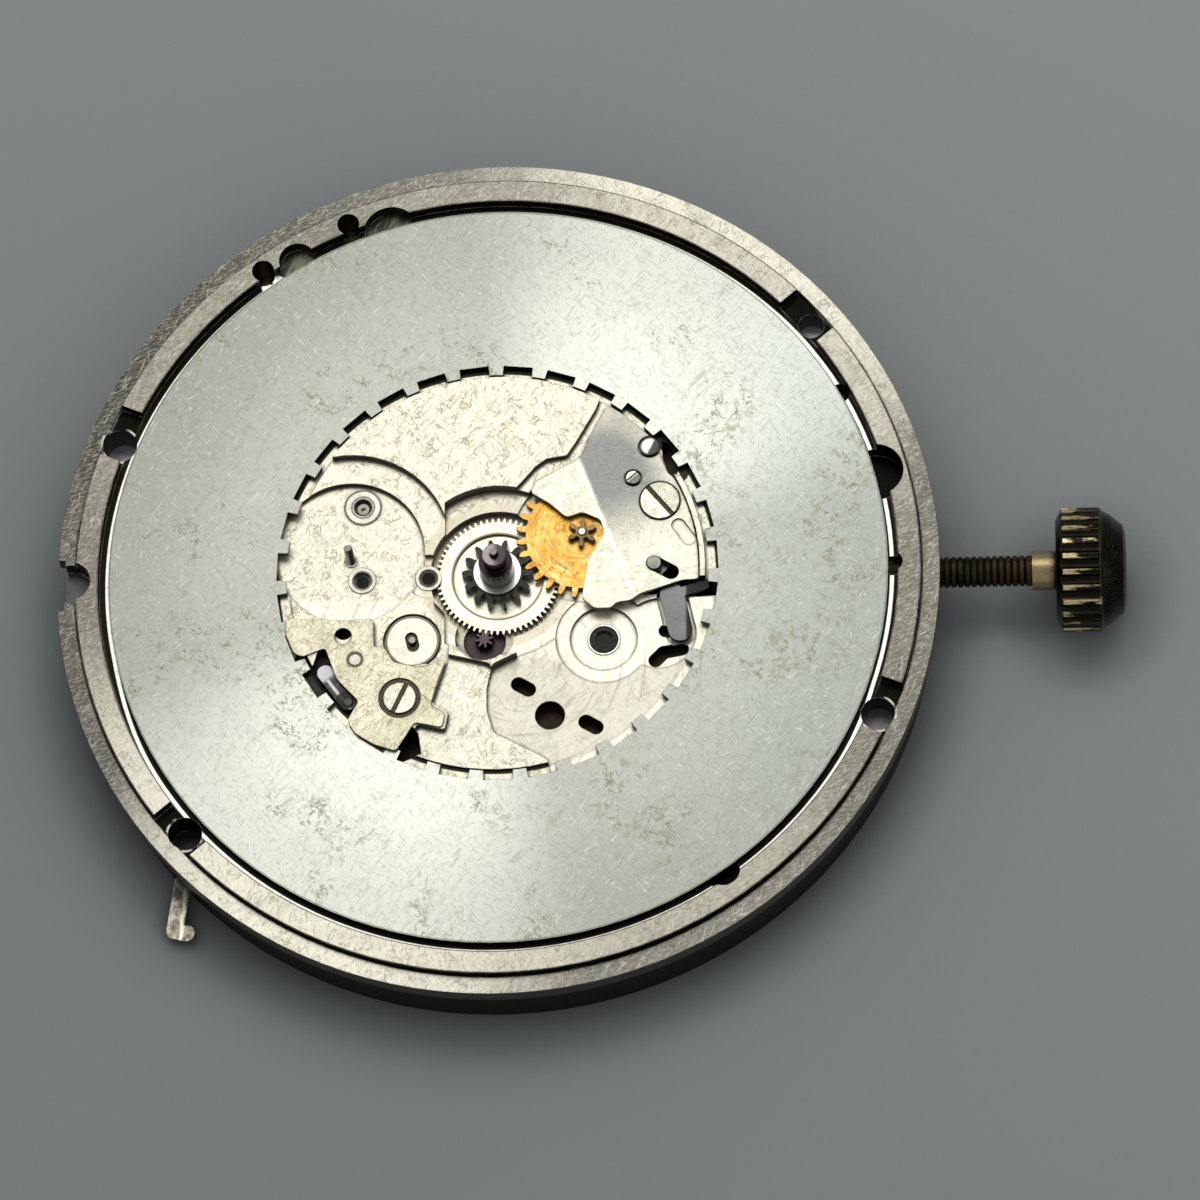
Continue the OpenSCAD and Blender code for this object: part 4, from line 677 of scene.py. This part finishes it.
def ring_nickel():
    """The date ring: cool grey, with painted highlights on two sides and painted shade at the upper
    left, with hairlines and olive stains.
    """
    m = Metal("ring_nickel", (0.5, 0.5, 0.5), (0.5, 0.5, 0.5), 0.5)
    radius = m.distance(CENTRE)
    # Painted highlights on two sides
    grey = m.times(m.lit(0.44, RING_GLOWS), m.band(radius, 6.8, 11.2, 1.1, 0.88))
    shade = m.tint(grey, (0.975, 1.0, 0.865))
    # Painted shade: darker towards the upper left
    upper_left = m.part(m.place(turn=145), "X")
    shade = m.mix(m.times(m.band(upper_left, 7, 12), 0.4), shade, (0.26, 0.275, 0.24))
    cool = m.band(m.part(m.place(turn=-5), "X"), 3, 11)
    shade = m.mix(m.times(cool, 0.35), shade, m.tint(grey, (0.92, 1.04, 0.97)))
    m.colour = m.mix(m.times(m.tone, 0.04), shade, (0.42, 0.42, 0.36))
    worn_side = m.band(upper_left, 5, -2)
    marked = m.math("ADD", m.times(worn_side, 0.75), 0.25)
    m.scratch((0.30, 0.30, 0.23), 0.32, 0.05, 0.5, 0.10, (52, 44, -40, -52))
    m.scratch((0.98, 0.98, 0.90), 0.32, 0.05, 0.5, 0.11, (48, 58, -44), 31)
    blotch = m.band(m.noise(m.place((2, 5, 0)), 0.33, 2.0), 0.50, 0.60)
    grains = m.band(m.noise(m.place((3, 1, 0)), 2.6, 6.0, 0.75), 0.54, 0.62)
    m.paint(m.times(blotch, grains, worn_side), (0.27, 0.255, 0.15), 0.6)
    m.paint(m.times(m.scribbles(3.6, 6.0, 0.045), blotch), (0.22, 0.21, 0.13), 0.7)
    smudge = m.noise(m.place((4, 2, 0), 52, (0.5, 1.6, 1)), 1.0, 5.0, 0.7)
    m.paint(m.times(m.band(smudge, 0.60, 0.72), marked), (0.33, 0.33, 0.25), 0.5)
    ticks = m.crossed(0.05, 0.22, 0.045, (50, -45, 15), 71.0)
    m.paint(m.times(ticks, marked), (0.22, 0.21, 0.14), 0.7)
    m.stain((0.20, 0.185, 0.11), 0.6, -0.01, 2.4, 8)
    # Painted shade: a dark line at the ring's outer edge
    m.paint(m.hoop(CENTRE, RING_R, 0.035), (0.16, 0.15, 0.11), 0.6)
    # A painted highlight on the outer edge, and dark lines at the edges round the teeth
    m.paint_top(m.times(m.edges(), m.band(radius, 7, 8)), (0.97, 0.97, 0.9), 0.7)
    m.paint_top(m.times(m.thin_edges(), m.band(radius, 8, 7)), (0.10, 0.095, 0.06), 0.6)
    return m.sides((0.018, 0.016, 0.010), 0.96).dirt_and_shade(0.06).end(0.4)


def jumper_steel():
    """The setting lever jumper: a dark patch of painted reflection that ends at a crease with a
    painted highlight, and a plain light side.
    """
    m = Metal("jumper_steel", (0.80, 0.77, 0.61), (0.75, 0.72, 0.58), edge=0.03)
    # Along the crease, which runs down from the upper left, and to the right of it
    crease_place = m.place((3.0, 1.9), -69)
    along, right = m.part(crease_place, "X"), m.part(crease_place, "Y")
    # Painted reflection: a dark patch to the right of the crease
    patch = m.times(m.band(right, -0.05, 0.12), m.band(along, 1.9, -0.5), m.band(along, -3.2, -2.0),
                    m.band(right, 2.7, 1.5))
    m.paint(patch, (0.215, 0.225, 0.215), 0.95)
    # Painted highlight along the crease
    crease = m.times(m.line(right, -0.04, 0.075, 0.02), m.band(along, 3.2, 2.2))
    m.paint(crease, (1.0, 0.99, 0.92), 0.85)
    tongue = m.band(m.part(m.place((3.7, 4.2), -30), "Y"), -0.3, 0.3)
    m.paint(tongue, (0.46, 0.445, 0.37), 0.7)
    m.scratch((0.5, 0.5, 0.44), 0.35, 0.03, 0.7, 0.08)
    m.scratch((0.97, 0.96, 0.88), 0.3, 0.03, 0.8, 0.08, (60, -20), 4)
    m.scribble((0.45, 0.42, 0.32), 0.4, 4.5)
    # Painted shade: dark rings round the screw and the two pins
    for at, radius in ((JUMPER_SCREW, 0.61), (STEADY_PIN, 0.26), (SLOTTED_PIN, 0.36)):
        m.paint_top(m.near(at, radius), (0.05, 0.045, 0.03), 0.9)
    pressed_mark = m.times(m.slab(LEVER_PIVOT, 125, 0.27, 0.26), m.below(-0.145, 0.005))
    m.paint(m.times(pressed_mark, m.edges()), (0.03, 0.03, 0.02), 0.9)
    return m.sides(share=0.95).dirt_and_shade(0.12, 0.9).outline(0.8).end(0.34)


def grey_steel():
    m = Metal("grey_steel", (0.62, 0.62, 0.58), (0.50, 0.50, 0.47))
    m.scratch((0.36, 0.36, 0.33))
    m.scratch((0.9, 0.9, 0.85), turns=(60, -20), seed=4)
    return m.sides(share=0.7).dirt_and_shade().shine((0.95, 0.95, 0.9)).end(0.3)


def date_jumper_steel():
    """The date jumper: a light head, and a bar painted dark as shade, with one painted bright edge.
    """
    m = Metal("date_jumper_steel", (0.47, 0.46, 0.49), (0.40, 0.39, 0.42))
    bar = m.place((-5.03, -3.08), -53.5)
    # Painted shade on the bar's top, with a painted highlight along its rib
    dark = m.times(m.band(m.part(bar, "X"), 0.12, 0.28), m.upward())
    m.paint(dark, (0.03, 0.032, 0.028), 0.95)
    rib = m.line(m.part(bar, "Y"), -0.08, 0.07, 0.02)
    m.paint(m.times(dark, rib), (0.55, 0.53, 0.50), 0.85)
    m.scratch((0.7, 0.7, 0.7), 0.3)
    m.paint(m.near(DATE_PIVOT, 0.3), (0.025, 0.026, 0.022), 0.95)
    return m.sides(share=0.95).dirt_and_shade(0.1).shine((0.6, 0.6, 0.58), 0.4).end(0.3)


def yoke_steel():
    """The yoke: a dark grey bar, whose far end is painted black as shade."""
    m = Metal("yoke_steel", (0.19, 0.185, 0.185), (0.15, 0.145, 0.145))
    m.scratch((0.4, 0.4, 0.4), 0.3)
    # Painted shade: the far end is black
    m.paint(m.ramp("X", 5.5, 5.6), (0.02, 0.018, 0.014), 0.95)
    return m.sides(share=0.95).dirt_and_shade(0.1).shine((0.4, 0.4, 0.4), 0.5).end(0.3)


def polished_steel():
    """Studs and pins: painted light on the left and painted shade on the right, some with a dark or
    grey top.
    """
    m = Metal("polished_steel", (0.72, 0.69, 0.62), (0.55, 0.53, 0.47), 3.0)
    m.scratch((0.9, 0.88, 0.82), 0.4, 0.02, 0.2, 0.1)
    # Painted light and shade: upright faces are light towards the left and dark towards the right
    to_right = m.band(m.facing("X"), -0.3, 0.3)
    m.paint(m.upright(), m.mix(to_right, (0.62, 0.60, 0.52), (0.02, 0.018, 0.012)), 0.95)
    # Painted shade on one half of the steady pin's top and of the slotted pin's top, and a dark
    # ring round the slotted pin
    half_dark = m.band(m.part(m.place(STEADY_PIN, 40), "Y"), 0.05, -0.05)
    m.paint(m.times(m.near(STEADY_PIN, 0.22), half_dark), (0.10, 0.11, 0.10), 0.9)
    half_black = m.band(m.part(m.place(SLOTTED_PIN, -25), "X"), 0.0, 0.08)
    m.paint(m.times(m.near(SLOTTED_PIN, 0.35), half_black), (0.03, 0.03, 0.025), 0.95)
    m.paint_top(m.hoop(SLOTTED_PIN, 0.27, 0.05), (0.06, 0.05, 0.04), 0.85)
    m.paint_top(m.near(KEEPER_PIN, 0.3), (0.50, 0.45, 0.38), 0.8)
    m.paint(m.near(DATE_PIVOT, 0.25), (0.03, 0.03, 0.025), 0.95)
    m.paint_top(m.near(CORRECTOR, 0.11), (0.22, 0.22, 0.17), 0.8)
    return m.dirt_and_shade(0.1).end(0.22)


def lever_steel():
    """The setting lever's pin, whose top is dull grey."""
    m = Metal("lever_steel", (0.30, 0.30, 0.26), (0.20, 0.20, 0.17), 3.0)
    m.scratch((0.45, 0.44, 0.4), 0.4, 0.02, 0.25, 0.1)
    return m.sides(share=0.9).dirt_and_shade(0.1).shine((0.55, 0.55, 0.5)).end(0.28)


def screw_steel():
    """Screws, and the slots of the two that show, painted dark as shade, each with a painted shaded
    side.
    """
    m = Metal("screw_steel", (0.78, 0.74, 0.61), (0.62, 0.58, 0.46), 2.5, edge=0.03)
    m.scratch((0.2, 0.17, 0.12), 0.6, 0.025, 0.3, 0.10, (25, -50, 80))
    m.scratch((0.98, 0.96, 0.86), 0.6, 0.025, 0.3, 0.11, (35, -45), 6)
    for at, turn, shade in ((JUMPER_SCREW, -50, 0.60), (KEEPER_SCREW, 65, 0.44)):
        # Painted shade: a dark slot, and a grey side beyond it
        m.paint_top(m.slab(at, turn, 0.7, 0.07, 0.012), (0.035, 0.028, 0.018), 0.95)
        beyond_slot = m.band(m.part(m.place(at, turn), "Y"), 0.06, 0.08)
        m.paint_top(m.times(m.near(at, 0.6), beyond_slot), (0.42, 0.40, 0.33), shade)
    return m.sides().dirt_and_shade(0.1).outline(0.7).end(0.26)


def bushing_brass():
    """Collars round holes painted black as shade. One hole holds a pivot's square end, one has a
    painted highlight on its edge.
    """
    m = Metal("bushing_brass", (0.66, 0.63, 0.53), (0.52, 0.49, 0.40), 2.0)
    m.scratch((0.9, 0.88, 0.8), 0.4, 0.02, 0.3, 0.11)
    for at, collar, dark in ((LEFT_BUSHING, 0.31, 0.85), (BOSS_BUSHING, 0.29, 0.95)):
        m.paint(m.near(at, collar), (0.06, 0.06, 0.05), dark)
    # Painted shade: the holes are black
    for at, hole in ((SQUARE_BUSHING, 0.28), (LEFT_BUSHING, 0.2), (BOSS_BUSHING, 0.2),
                     (BRIGHT_BUSHING, 0.43)):
        m.paint(m.near(at, hole, 0.015), (0.010, 0.011, 0.009), 0.98)
    m.paint_top(m.hoop(SQUARE_BUSHING, 0.53, 0.045), (0.08, 0.07, 0.05), 0.85)
    m.paint_top(m.hoop(SQUARE_BUSHING, 0.33, 0.05), (0.12, 0.11, 0.08), 0.8)
    pivot_end = m.times(m.near(SQUARE_BUSHING, 0.175, 0.015), m.below(-0.58, 0.02))
    m.paint(pivot_end, (0.30, 0.28, 0.22), 0.9)
    m.paint(m.slab(SQUARE_BUSHING, 20, 0.07, 0.05, 0.012), (0.02, 0.02, 0.015), 0.9)
    # Painted highlight on the bright bushing's edge
    m.paint_top(m.hoop(BRIGHT_BUSHING, 0.46, 0.03), (1.0, 0.98, 0.9), 0.9)
    return m.sides().dirt_and_shade(0.08).shine((0.95, 0.94, 0.88), 0.5).end(0.27)


def wheel_nickel():
    """The driving wheel: pale and turned. Its teeth show most at the lower right, where their
    flanks keep their painted shade; elsewhere the flanks are painted light.
    """
    m = Metal("wheel_nickel", (0.80, 0.76, 0.62), (0.66, 0.62, 0.49), 1.5)
    m.paint(m.swirls(CENTRE, 0.06), (0.95, 0.93, 0.84), 0.5)
    m.paint(m.swirls(CENTRE, 0.05, 7.0), (0.40, 0.36, 0.24), 0.55)
    # Painted shade: a dark line at the inner step
    m.paint_top(m.hoop(CENTRE, 1.35, 0.05), (0.12, 0.09, 0.04), 0.85)
    m.sides((0.03, 0.024, 0.012), 0.9)
    # Painted light on the teeth's flanks, least at the lower right
    pale = m.math("SUBTRACT", 1.0, m.times(m.glow(320, 0.0), 0.7))
    teeth = m.times(m.upright(), m.band(m.distance(CENTRE), 1.7, 1.75))
    m.paint(m.times(teeth, pale), (0.55, 0.49, 0.36), 0.85)
    return m.dirt_and_shade(0.08, 0.5, (0.10, 0.08, 0.04)).end(0.28)


def wheel_brass():
    """Brass wheels of the train, and the steel tip of the seconds shaft."""
    m = Metal("wheel_brass", (0.36, 0.25, 0.12), (0.2, 0.13, 0.06), 2.0, edge=0.015)
    m.paint(m.swirls(CENTRE, 0.06), (0.6, 0.45, 0.22), 0.4)
    m.sides(share=0.7).dirt_and_shade().shine((0.8, 0.62, 0.35))
    return m.paint(m.above(0.8, 0.2), (0.20, 0.17, 0.17), 0.95).end(0.28)


def third_brass():
    """The third wheel, of which only the dark pinion shows in its well."""
    m = Metal("third_brass", (0.30, 0.21, 0.10), (0.18, 0.12, 0.06), 2.0)
    m.paint(m.near(THIRD_WHEEL, 0.5), (0.07, 0.055, 0.055), 0.95)
    return m.sides(share=0.9).dirt_and_shade(0.1).shine((0.42, 0.36, 0.34), 0.7).end(0.25)


def gold_plate():
    """The gilt minute wheel, turned on a lathe and scratched."""
    m = Metal("gold_plate", (0.93, 0.55, 0.14), (0.78, 0.37, 0.065), 1.4, edge=0.025)
    m.paint(m.swirls(MINUTE_WHEEL, 0.12), (1.0, 0.82, 0.40), 0.65)
    m.paint(m.swirls(MINUTE_WHEEL, 0.09, 5.0), (0.45, 0.16, 0.02), 0.65)
    m.scribble((0.35, 0.13, 0.02), 0.6, 2.2, 2.0)
    m.scratch((1.0, 0.78, 0.4), 0.5, 0.02, 0.3, 0.13, (60, 30))
    m.scratch((0.40, 0.15, 0.03), 0.5, 0.02, 0.3, 0.12, (75, -60), 5)
    m.sides((0.12, 0.05, 0.01), 0.85).dirt_and_shade(0.1, 0.7, (0.2, 0.09, 0.02))
    return m.outline(0.7, (0.22, 0.09, 0.02)).end(0.3)


def cannon_steel():
    """The cannon pinion: black leaves with flanks in painted shade, a shoulder painted bright as a
    highlight, and a dark post with a painted highlight at its end.
    """
    m = Metal("cannon_steel", (0.04, 0.038, 0.034), (0.028, 0.026, 0.024), 3.0)
    m.relief = m.times(m.relief, 0.3)
    radius = m.distance(CENTRE)
    above_leaves = m.above(-0.28, 0.02)
    post = m.times(above_leaves, m.band(radius, 0.52, 0.48))
    m.paint(post, (0.030, 0.024, 0.024), 0.97)
    # Painted highlight at the post's end, lighter towards the left
    top_shade = m.mix(m.ramp("X", -0.1, 0.15), (0.26, 0.225, 0.225), (0.06, 0.05, 0.05))
    m.paint_top(m.times(post, m.above(1.0, 0.1)), top_shade, 0.95)
    # Painted highlight on the shoulder
    shoulder = m.times(above_leaves, m.below(-0.175, 0.025), m.band(radius, 0.48, 0.52))
    m.paint_top(shoulder, (0.93, 0.9, 0.82), 0.95)
    # Painted shade on the leaves' flanks
    m.paint(m.times(m.upright(), m.below(-0.25, 0.05)), SOOT_AND_SHADE, 0.9)
    return m.dirt_and_shade(0.1, 0.6).shine((0.30, 0.27, 0.25), 0.45).end(0.24)


def pinion_steel():
    """The minute pinion: brown leaves with flanks painted black as shade."""
    m = Metal("pinion_steel", (0.26, 0.17, 0.075), (0.13, 0.08, 0.035), 3.0)
    m.scratch((0.6, 0.45, 0.25), 0.5, 0.02, 0.2, 0.12)
    return m.sides((0.025, 0.016, 0.006), 0.95).dirt_and_shade(0.1).outline(0.5).end(0.25)


def dark_steel():
    m = Metal("dark_steel", (0.20, 0.18, 0.17), (0.08, 0.07, 0.07))
    m.scratch((0.6, 0.58, 0.55), 0.35, 0.02, 0.5, 0.1)
    return m.sides(share=0.5).dirt_and_shade().shine((0.6, 0.58, 0.55)).end(0.25)


def rusty_steel():
    """The stem: rusty, most of all at its outer end, and greenish black in patches."""
    m = Metal("rusty_steel", (0.040, 0.034, 0.020), (0.016, 0.015, 0.009), 3.0)
    m.paint(m.ramp("X", 14.0, 15.6), (0.075, 0.042, 0.022), 0.7)
    m.stain((0.16, 0.085, 0.040), 0.7, 0.08, 4.0)
    m.stain((0.014, 0.016, 0.009), 0.85, 0.12, 3.0, 17)
    m.relief = m.noise(m.place(), 3.5, 4.0)
    return m.dirt_and_shade(0.1).shine((0.26, 0.19, 0.11), 0.4).end(0.5, 0.05)


def worn_bronze():
    """The crown: nearly black, and worn to brass on top of its ridges and on its neck, with painted
    highlights there, more towards the left.
    """
    m = Metal("worn_bronze", (0.014, 0.012, 0.008), (0.006, 0.006, 0.004), 1.8, edge=0.04)
    neck_end, ridges_start, ridges_end = 16.34, 16.45, 17.9
    # The neck, painted brass-bright as wear and as a painted highlight
    m.paint(m.ramp("X", neck_end + 0.02, neck_end - 0.02), (0.42, 0.33, 0.17), 0.9)
    # Wear in patches, and a painted highlight on the ridge tops, more towards the left
    patches = m.noise(m.place(scale=(0.8, 2.6, 2.6)), 1.0, 4.0, 0.7)
    worn = m.math("ADD", patches, m.ramp("X", ridges_end, ridges_start + 0.15, -0.12, 0.10))
    ridges = m.times(m.ramp("X", ridges_start, ridges_start + 0.15),
                     m.ramp("X", ridges_end, ridges_end - 0.15))
    tops = m.band(m.distance((0, 0, STEM_Z), (0, 1, 1)), 1.755, 1.81)
    m.paint(m.times(tops, ridges, m.band(worn, 0.46, 0.58)), (0.78, 0.64, 0.36), 0.9)
    m.stain((0.10, 0.065, 0.03), 0.5, 0.06, 4.0)
    m.scratch((0.30, 0.24, 0.13), 0.35, 0.03, 0.3, 0.07, (5, 80))
    m.relief = m.math("ADD", m.relief, m.noise(m.place(), 2.5))
    return m.dirt_and_shade(0.25).shine((0.42, 0.34, 0.19), 0.35).end(0.3, 0.02)


def magnet():
    m = Metal("magnet", (0.16, 0.16, 0.165), (0.1, 0.1, 0.105), 3.0)
    return m.dirt_and_shade().shine((0.3, 0.3, 0.3)).end(0.5, metallic=0.6)


def copper_wire():
    m = Metal("copper_wire", (0.72, 0.30, 0.12), (0.5, 0.18, 0.06), 2.0)
    return m.dirt_and_shade(0.1).shine((0.95, 0.6, 0.35)).end(0.28)


def board_green():
    """The circuit board: lacquered glass cloth."""
    m = Metal("board_green", (0.030, 0.16, 0.070), (0.018, 0.105, 0.045), 1.5)
    warp = m.noise(m.place(scale=(1, 14, 0)), 1.0, 1.0)
    weft = m.noise(m.place(scale=(14, 1, 0)), 1.0, 1.0)
    m.paint(m.band(m.times(warp, weft), 0.24, 0.32), (0.06, 0.24, 0.11), 0.5)
    m.paint(m.upright(), (0.25, 0.24, 0.12), 0.7)
    return m.dirt_and_shade().end(0.32, 0.001, metallic=0.0)


def black_resin():
    m = Metal("black_resin", (0.014, 0.014, 0.015), (0.008, 0.008, 0.009), 3.0)
    m.relief = m.noise(m.place(), 12.0, 4.0)
    return m.dirt_and_shade().end(0.28, 0.01, metallic=0.0)


def can_steel():
    """The battery and the crystal's can."""
    m = Metal("can_steel", (0.72, 0.72, 0.70), (0.60, 0.60, 0.585), 1.0)
    m.paint(m.swirls(BATTERY, 0.07), (0.9, 0.9, 0.88), 0.4)
    m.scratch((0.35, 0.35, 0.34), 0.4, 0.02, 0.8, 0.12)
    return m.dirt_and_shade().shine((0.95, 0.95, 0.93)).end(0.24)


def amber_film():
    m = Metal("amber_film", (0.55, 0.24, 0.03), (0.42, 0.17, 0.02), 2.0)
    return m.dirt_and_shade().shine((0.7, 0.4, 0.1)).end(0.2, metallic=0.0)


def strap_steel():
    """The battery strap. Outside the case its torn end is dirty, and has a painted highlight along
    one edge.
    """
    m = Metal("strap_steel", (0.60, 0.56, 0.46), (0.46, 0.42, 0.33), 1.5, edge=0.04)
    m.scratch((0.92, 0.88, 0.76), 0.5, 0.03, 0.5, 0.1, (70, 100))
    outside = m.times(m.band(m.distance(CENTRE), 12.6, 13.0), m.upward())
    grime = m.band(m.noise(m.place((5, 2, 0)), 2.4, 5.0, 0.7), 0.62, 0.40)
    m.paint(m.times(outside, grime), (0.13, 0.13, 0.08), 0.92)
    # Painted highlight along one edge of the torn end
    ragged = m.times(m.noise(m.place(), 1.6, 2.0), 0.25)
    from_edge = m.math("ADD", m.part(m.place((-9.44, -9.4), 83), "Y"), ragged)
    m.paint(m.times(outside, m.line(from_edge, 0.0, 0.09, 0.03)), (0.92, 0.89, 0.74), 0.85)
    m.scribble((0.8, 0.77, 0.6), 0.6, 3.0)
    return m.sides((0.05, 0.05, 0.03), 0.8).dirt_and_shade().shine((0.97, 0.95, 0.86)).end(0.3)


# Nodes that look different from the rest of their slot
OWN_FINISH = {
    "train_bridge": bridge_nickel, "setting_lever_jumper": jumper_steel, "yoke": yoke_steel,
    "setting_lever": lever_steel, "cannon_pinion": cannon_steel, "minute_pinion": pinion_steel,
    "third_wheel": third_brass, "date_jumper": date_jumper_steel,
}
# Each of the others is named after its slot
SLOT_FINISH = {build.__name__: build for build in (
    plate_nickel, keeper_nickel, disc_nickel, ring_nickel, wheel_nickel, bushing_brass,
    wheel_brass, polished_steel, screw_steel, grey_steel, strap_steel, dark_steel, rusty_steel,
    can_steel, gold_plate, worn_bronze, magnet, copper_wire, board_green, black_resin,
    amber_film)}
made = {}


def material_of(build):
    """Builds a material once."""
    if build not in made:
        made[build] = build()
    return made[build]


def dress():
    """Gives each CAD node its material."""
    for row in frame["record"]["subparts"]:
        build = OWN_FINISH.get(row["node"], SLOT_FINISH[row["material_slot"]])
        data = nodes[row["node"]].data
        data.materials.clear()
        data.materials.append(material_of(build))


# Pieces that only the scene has

def add_mesh(name, points, faces, build, body):
    """A mesh piece in metres from points in millimetres. It rides on a body."""
    mesh = bpy.data.meshes.new(name)
    mesh.from_pydata([Vector(p) * MM for p in points], [], faces)
    mesh.polygons.foreach_set("use_smooth", [True] * len(mesh.polygons))
    piece = bpy.data.objects.new(name, mesh)
    scene.collection.objects.link(piece)
    mesh.materials.append(material_of(build))
    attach(piece, body)
    return piece


def tube(path, radii, sides):
    """Points and faces of a closed tube along a path, with one radius for each point."""
    points, faces = [], []
    for i, at in enumerate(path):
        before, after = path[max(i - 1, 0)], path[min(i + 1, len(path) - 1)]
        along = (after - before).normalized()
        reference = Vector((0, 0, 1)) if abs(along.z) < 0.9 else Vector((1, 0, 0))
        across = along.cross(reference).normalized()
        up = across.cross(along)
        for k in range(sides):
            turn = 2 * math.pi * k / sides
            points.append(at + radii[i] * (math.cos(turn) * across + math.sin(turn) * up))
        if i:
            a, b = (i - 1) * sides, i * sides
            for k in range(sides):
                beside = (k + 1) % sides
                faces.append((a + k, a + beside, b + beside, b + k))
    faces.append(tuple(range(sides)))
    faces.append(tuple(reversed(range(len(points) - sides, len(points)))))
    return points, faces


def add_coil():
    """The coil as one layer of fine wire, in place of its plain solid."""
    low, high = (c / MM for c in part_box("coil_winding"))
    wire_r = 0.045
    steps = 28
    radius = (high.z - low.z) / 2 - wire_r
    y, z = (low.y + high.y) / 2, (low.z + high.z) / 2
    turns = int((high.x - low.x - 2 * wire_r) / (2 * wire_r))
    path = []
    for i in range(turns * steps + 1):
        x = low.x + wire_r + 2 * wire_r * i / steps
        angle = 2 * math.pi * i / steps
        path.append(Vector((x, y + radius * math.cos(angle), z + radius * math.sin(angle))))
    points, faces = tube(path, [wire_r] * len(path), 5)
    piece = add_mesh("coil_wire", points, faces, copper_wire, "movement")
    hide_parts("coil_winding")


def add_burr():
    """A raised burr that stands on the block above the minute wheel."""
    path = [Vector((1.75, 4.42, -0.115)), Vector((1.80, 4.2, -0.09)),
            Vector((1.86, 3.95, -0.08)), Vector((1.95, 3.72, -0.115))]
    points, faces = tube(path, [0.012, 0.03, 0.04, 0.012], 6)
    add_mesh("burr", points, faces, polished_steel, "movement")


add_camera()
add_floor()
add_light()
dress()
add_coil()
add_burr()
